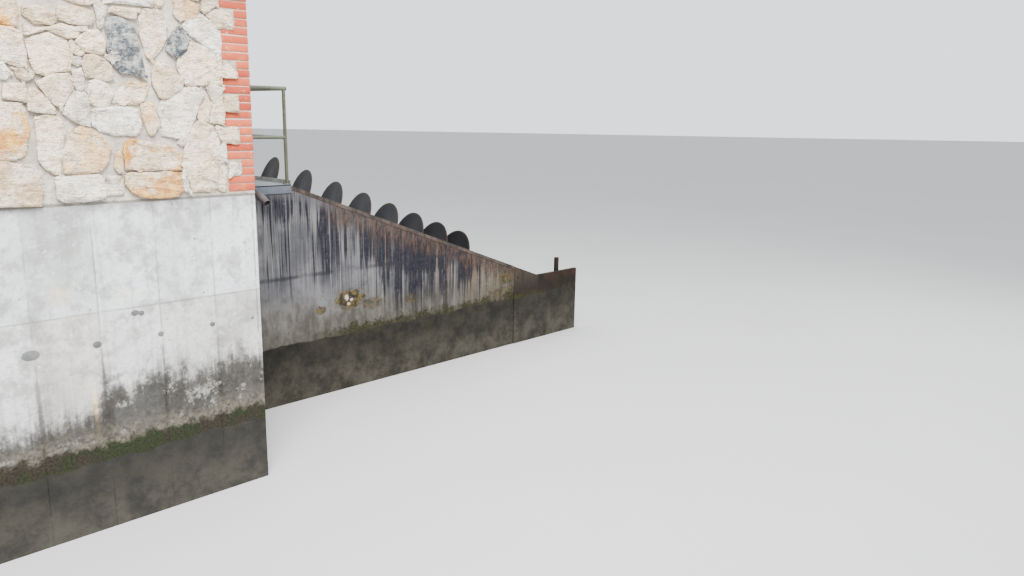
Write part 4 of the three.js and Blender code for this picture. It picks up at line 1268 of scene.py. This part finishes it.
def buildBearing(name, along, node):
    low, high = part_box(node)
    middle = screwFrame @ Vector((0, 0, along))
    cover = [(screw['journal'] + bearing['play'], 0.070), (0.082, 0.070), (0.085, 0.067), (0.085, 0.060),
             (0.101, 0.060), (0.105, 0.056), (0.105, 0.006), (0.103, 0.004)]
    corners = [(radius, -height) for radius, height in cover] + cover[::-1]
    drum = turnProfile(name, corners, steps=64)
    setMode('EDIT')
    for side in (-1, 1):
        boltCircle(0.073, side * 0.0665, side, 6, 30, 0.006)
    setMode('OBJECT')
    placeOnScrew(drum, 0, along)

    body = openPiece('bearing_foot')
    x, foot, axle = middle.x, low.z, middle.z
    wide, deep, thick = bearing['foot']
    addBlock((x - wide, -deep, foot), (x + wide, deep, foot + thick), 0.008, 3)
    for side in (-1, 1):
        y = side * bearing['cheek']
        addBlock((x - 0.052, y - 0.014, axle - 0.075), (x + 0.052, y + 0.014, axle + 0.024), 0.005)
        y = side * bearing['rib']
        addBlock((x - 0.058, y - 0.016, foot + 0.02), (x + 0.058, y + 0.016, axle - 0.03), 0.006)
        for shift in (-0.03, 0.03):
            addBolt((x + shift, side * bearing['cheek'], axle + 0.023), (0, 0, 1), 0.011)
        for shift in (-0.045, 0.045):
            addBolt((x + shift, side * bearing['footBolt'], foot + thick), (0, 0, 1), 0.015)
    addBlock((x - 0.050, -0.075, foot + 0.02), (x + 0.050, 0.075, axle - 0.085), 0.004)
    addTube((x, 0, axle + 0.098), (x, 0, high.z - 0.001), 0.007, 12)  # grease nipple
    setMode('OBJECT')
    finishPiece(joinPieces(name, [body, drum]), castIron, 'plant', [node], 40)


buildFlights()
buildTube()
buildJournal('journal_upper', screw['start'], -1, screw['upper'] - 0.11, 'upper_journal')
buildJournal('journal_lower', screw['end'], 1, screw['lower'] + 0.11, 'lower_journal')
buildTrough()
buildBearing('bearing_block_upper', screw['upper'], 'upper_bearing')
buildBearing('bearing_block_lower', screw['lower'], 'lower_bearing')
print('screw built')

# Deck and railing
deck = {'sheet': 0.004, 'boards': 8, 'sheets': 3, 'play': 0.003, 'lip': 0.0055, 'gap': 0.019, 'slant': 0.115,
        'upright': 0.018, 'screws': 9, 'screwRow': 0.035, 'flange': 1.1623, 'bolts': 1.1682,
        'joint': (1.162, 1.1638)}
deck['low'], deck['high'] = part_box('deck_plate')
rail = {'side': 1.125, 'post': 0.47965, 'top': 4.035, 'middle': 3.447, 'large': 0.025, 'thin': 0.021,
        'upright': 0.022, 'foot': 2.8703, 'overhang': 0.034}


def buildDeck():
    low, high = deck['low'], deck['high']
    under = high.z - deck['sheet']
    boards = openPiece('deck_boards')
    width, play = (high.x - low.x) / deck['boards'], deck['play'] / 2
    for number in range(deck['boards']):
        start = low.x + number * width
        addBlock((start + play, low.y, low.z), (start + width - play, high.y, under - 0.0003), 0.002, 1)
    finishPiece(boards, deckWood)

    sheets = openPiece('deck_sheets')
    width, lip = (high.x - low.x) / deck['sheets'], deck['lip']
    for number in range(deck['sheets']):
        start, end = low.x + number * width, low.x + (number + 1) * width
        addBlock((start + 0.001, low.y - lip, under), (end - 0.001, high.y + lip, high.z), 0.0012)
        for x in (start + deck['screwRow'], end - deck['screwRow']):
            for place in range(deck['screws']):
                y = low.y + 0.06 + (high.y - low.y - 0.12) * place / (deck['screws'] - 1)
                addTube((x, y, high.z - 0.001), (x, y, high.z + 0.0022), 0.008, 12)
    finishPiece(sheets, deckPaint, 'plant', ['deck_plate'])

    # the edge plates, with their near end cut aslant, and a near-black strip under the lip of the sheets:
    # painted shade standing for the shadow there
    for side, sign in (('near', -1), ('far', 1)):
        bottom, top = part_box(f'deck_fascia_{side}')
        plate = openPiece(f'fascia_{side}')
        head = top.z - deck['gap']
        addBlock((bottom.x - deck['slant'], bottom.y, bottom.z), (top.x, top.y, head), 0.0018)
        lean = math.atan2(head - bottom.z - deck['upright'], deck['slant'])
        selectMesh()
        bpy.ops.mesh.bisect(plane_co=(bottom.x, 0, bottom.z), plane_no=(math.sin(lean), 0, math.cos(lean)),
                            clear_inner=True, use_fill=True)
        inner, outer = sorted((sign * deck['flange'], sign * (deck['flange'] - 0.004)))
        addBlock((bottom.x, inner, bottom.z - 0.0002), (top.x, outer, bottom.z + 0.079), 0.001, 1)
        for x in (bottom.x + 0.05, (bottom.x + top.x) / 2, top.x - 0.05):
            addBolt((x, sign * deck['bolts'], bottom.z + 0.030), (0, sign, 0), 0.007)
        finishPiece(plate, fasciaPaint, 'plant', [f'deck_fascia_{side}'])
        strip = openPiece(f'deck_shadow_strip_{side}')
        inner, outer = sorted(sign * reach for reach in deck['joint'])
        addBlock((low.x, inner, head - 0.003), (high.x, outer, under - 0.0002), 0.0004, 1)
        finishPiece(strip, shadowStripPaint)


def addPost(x, y):
    foot = rail['foot']
    addBlock((x - 0.045, y - 0.037, foot), (x + 0.0225, y + 0.037, foot + 0.008), 0.0015, 1)
    addTube((x, y, foot + 0.004), (x, y, rail['top'] - 0.012), rail['upright'], 32)
    addRing((x, y, foot + 0.009), (0, 0, 1), rail['upright'] + 0.001, 0.004)
    addRing((x, y, rail['top'] - 0.0215), (0, 0, 1), rail['upright'] + 0.0005, 0.0045)
    for side in (-1, 1):
        addBolt((x - 0.034, y + side * 0.026, foot + 0.008), (0, 0, 1), 0.008)


def buildRailing():
    wall = house['front']
    for side, sign in (('near', -1), ('far', 1)):
        y = sign * rail['side']
        piece = openPiece(f'rail_{side}')
        end = rail['post'] + rail['overhang']
        addTube((wall, y, rail['top']), (end, y, rail['top']), rail['large'], 32)
        bpy.ops.mesh.bevel(offset=0.004, segments=2, affect='EDGES')
        addTube((wall, y, rail['middle']), (rail['post'], y, rail['middle']), rail['thin'], 32)
        addRing((rail['post'] - 0.021, y, rail['middle']), (1, 0, 0), rail['thin'], 0.004)
        for height, size in ((rail['top'], rail['large']), (rail['middle'], rail['thin'])):
            addTube((wall + 0.0002, y, height), (wall + 0.006, y, height), min(size + 0.014, 0.0365), 32)
            addRing((wall + 0.007, y, height), (1, 0, 0), size, 0.003)
        addPost(rail['post'], y)
        finishPiece(piece, railPaint, 'plant', [f'railing_{side}'], 40)

    piece = openPiece('rail_end')
    reach = rail['side'] - rail['upright'] - 0.0003
    addTube((rail['post'], -reach, rail['top']), (rail['post'], reach, rail['top']), rail['large'], 32)
    addTube((rail['post'], -reach, rail['middle']), (rail['post'], reach, rail['middle']), rail['thin'], 32)
    addPost(rail['post'], 0)
    finishPiece(piece, railPaint, 'plant', ['railing_end'], 40)


drain = {'start': Vector((0.06565, -1.154, 2.77)), 'end': Vector((0.08465, -1.320, 2.666)), 'collar': 0.053}


def buildDrain():
    way = drain['end'] - drain['start']
    length = way.length
    corners = [(0.042, -0.045), (0.042, length - 0.001), (0.0435, length), (0.0455, length),
               (0.047, length - 0.002), (0.047, length - 0.028), (0.0458, length - 0.030), (0.0458, -0.045)]
    spout = turnProfile('drain_spout', corners, steps=48)
    spout.rotation_mode = 'QUATERNION'
    spout.rotation_quaternion = way.normalized().to_track_quat('Z', 'Y')
    spout.location = drain['start']
    pick(spout)
    bpy.ops.object.transform_apply(location=True, rotation=True, scale=True)
    setMode('EDIT')
    selectMesh()
    bpy.ops.mesh.bisect(plane_co=(0, -channel['half'] - 0.0003, 0), plane_no=(0, 1, 0), clear_outer=True,
                        use_fill=True)
    bpy.ops.mesh.select_all(action='DESELECT')
    addRing(drain['start'] + Vector((0, -0.006, -0.003)), (0, 1, 0), drain['collar'], 0.008, 40)
    setMode('OBJECT')
    finishPiece(spout, pipeClay, 'plant', ['drain_pipe'], 40)


buildDeck()
buildRailing()
buildDrain()
print('deck built')

# Roof: standing seams between the sheets, and rows of screws on the ridge cap
roof = {'pitch': 0.55, 'rib': 0.024, 'width': 0.014, 'margin': 0.03, 'eaves': 3.262, 'crest': 0.10,
        'screws': 19, 'screwMargin': 0.11, 'screwRow': 0.118}


def buildRoof():
    low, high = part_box('roof_slope_near')
    pitch = house['pitch']
    lean = math.tan(pitch)
    for side, sign in (('near', -1), ('far', 1)):
        piece = openPiece(f'roof_seams_{side}')
        tops = [high.z - roof['eaves'] * lean, high.z - roof['crest'] * lean]
        y, z = (sign * roof['eaves'] + sign * roof['crest']) / 2, (tops[0] + tops[1]) / 2
        length = (roof['eaves'] - roof['crest']) / math.cos(pitch)
        wide = high.x - low.x - 2 * roof['margin']
        count = round(wide / roof['pitch'])
        for number in range(count + 1):
            x = low.x + roof['margin'] + wide * number / count
            bpy.ops.mesh.primitive_cube_add(size=1, location=(x, y, z), rotation=(-sign * pitch, 0, 0),
                                            scale=(roof['width'], length, roof['rib'] * 2))
            bpy.ops.mesh.bevel(offset=0.003, segments=2, affect='EDGES')
        finishPiece(piece, roofPaint)

    piece = openPiece('ridge_screws')
    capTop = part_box('ridge_cap')[1].z
    wide = high.x - low.x - 2 * roof['screwMargin']
    for sign in (-1, 1):
        way = Vector((0, sign * math.sin(pitch), math.cos(pitch)))
        for number in range(roof['screws']):
            x = low.x + roof['screwMargin'] + number * wide / (roof['screws'] - 1)
            top = Vector((x, sign * roof['screwRow'], capTop - roof['screwRow'] * lean))
            addTube(top - way * 0.004, top + way * 0.003, 0.012, 12)
            addTube(top, top + way * 0.0075, 0.006, 6)
    finishPiece(piece, roofPaint)


buildRoof()

# The faces of the roof slabs that look down are boards
for side in ('near', 'far'):
    slab = frame['nodes'][f'roof_slope_{side}']
    slab.data.materials.append(rafterWood)
    for face in slab.data.polygons:
        if face.normal.z < -0.3:
            face.material_index = 1
print('roof built')

# Marks of the formwork on the base: fins where the panels met, and grout over the tie holes. A patch is its
# place along the wall and in height, and its reach both ways.
patches = [(-3.01, 1.74, 0.070, 0.042), (-2.49, 1.735, 0.036, 0.030), (-1.935, 1.73, 0.028, 0.024),
           (-1.44, 1.735, 0.026, 0.022), (-1.02, 1.73, 0.016, 0.014), (-2.15, 1.965, 0.034, 0.026),
           (-2.095, 1.955, 0.026, 0.022)]
passageHalf = 0.9  # no patch in the water passage


def jointsOf(side, place, low, high):  # where the panels meet, along the wall
    sign = 1 if side in ('near', 'downstream') else -1
    first = sign * (formed['start'] - house['half'] - (place[0] + place[1]))
    number = math.ceil((low - first) / formed['spacing'])
    joints = []
    while first + number * formed['spacing'] < high - 0.03:
        joints.append(first + number * formed['spacing'])
        number += 1
    return [joint for joint in joints if joint > low + 0.03]


def addFins(joints, low, high, rng):
    for x in joints:
        z = 0.02
        while z < house['base'] - 0.05:
            length = rng.uniform(0.12, 0.5)
            if rng.random() < 0.6:
                thin = rng.uniform(0.0015, 0.0035)
                addBlock((x - thin, -rng.uniform(0.0015, 0.004), z),
                         (x + thin, 0.003, min(z + length, house['base'] - 0.01)), 0.001, 1)
            z += length + rng.uniform(0.0, 0.1)
    x = low + 0.02
    while x < high - 0.05:
        length = rng.uniform(0.2, 0.55)
        if rng.random() < 0.75:
            z = formed['joint'] + rng.uniform(-0.002, 0.002)
            addBlock((x, -rng.uniform(0.002, 0.0045), z - 0.003),
                     (min(x + length, high - 0.01), 0.003, z + 0.003), 0.001, 1)
        x += length + rng.uniform(0.0, 0.06)


def buildFormMarks():
    rng = random.Random(3)
    for side, (place, turn, low, high) in walls.items():
        joints = jointsOf(side, place, low, high)
        fins = openPiece(f'form_fins_{side}')
        addFins(joints, low, high, rng)
        fins.location, fins.rotation_euler = place, (0, 0, turn)
        finishPiece(fins, concrete)

        ties = formed['ties']
        if side == 'near':
            spots = patches + [(x, ties, 0.028, 0.024) for x in joints if x < -3.2]
        else:
            spots = [(x, ties + rng.uniform(-0.01, 0.01), rng.uniform(0.022, 0.04), 0.024) for x in joints]
        grout = openPiece(f'tie_patches_{side}')
        for x, z, wide, tall in spots:
            if side.endswith('stream') and abs(x) <= passageHalf:
                continue
            bpy.ops.mesh.primitive_cylinder_add(vertices=22, radius=1, depth=0.008, location=(x, 0, z),
                                                rotation=(math.pi / 2, 0, 0), scale=(wide, tall, 1))
            bpy.ops.mesh.bevel(offset=0.0015, segments=2, affect='EDGES')
        setMode('OBJECT')
        roughen(grout, 'groutEdge', 0.03, 0.03, 'X')
        grout.location, grout.rotation_euler = place, (0, 0, turn)
        finishPiece(grout, groutGrey)


# Anchor bolts where the steel plate laps the concrete
anchors = {'x': 4.688, 'heights': (0.22, 0.52, 0.86, 1.14), 'size': 0.017}


def buildAnchors():
    piece = openPiece('plate_anchors')
    for height in anchors['heights']:
        addBolt((anchors['x'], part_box('end_plate_near')[0].y, height), (0, -1, 0), anchors['size'])
    finishPiece(piece, rust)


buildFormMarks()
buildAnchors()
print('base dressed')

# The view layer is brought up to date
bpy.context.view_layer.update()
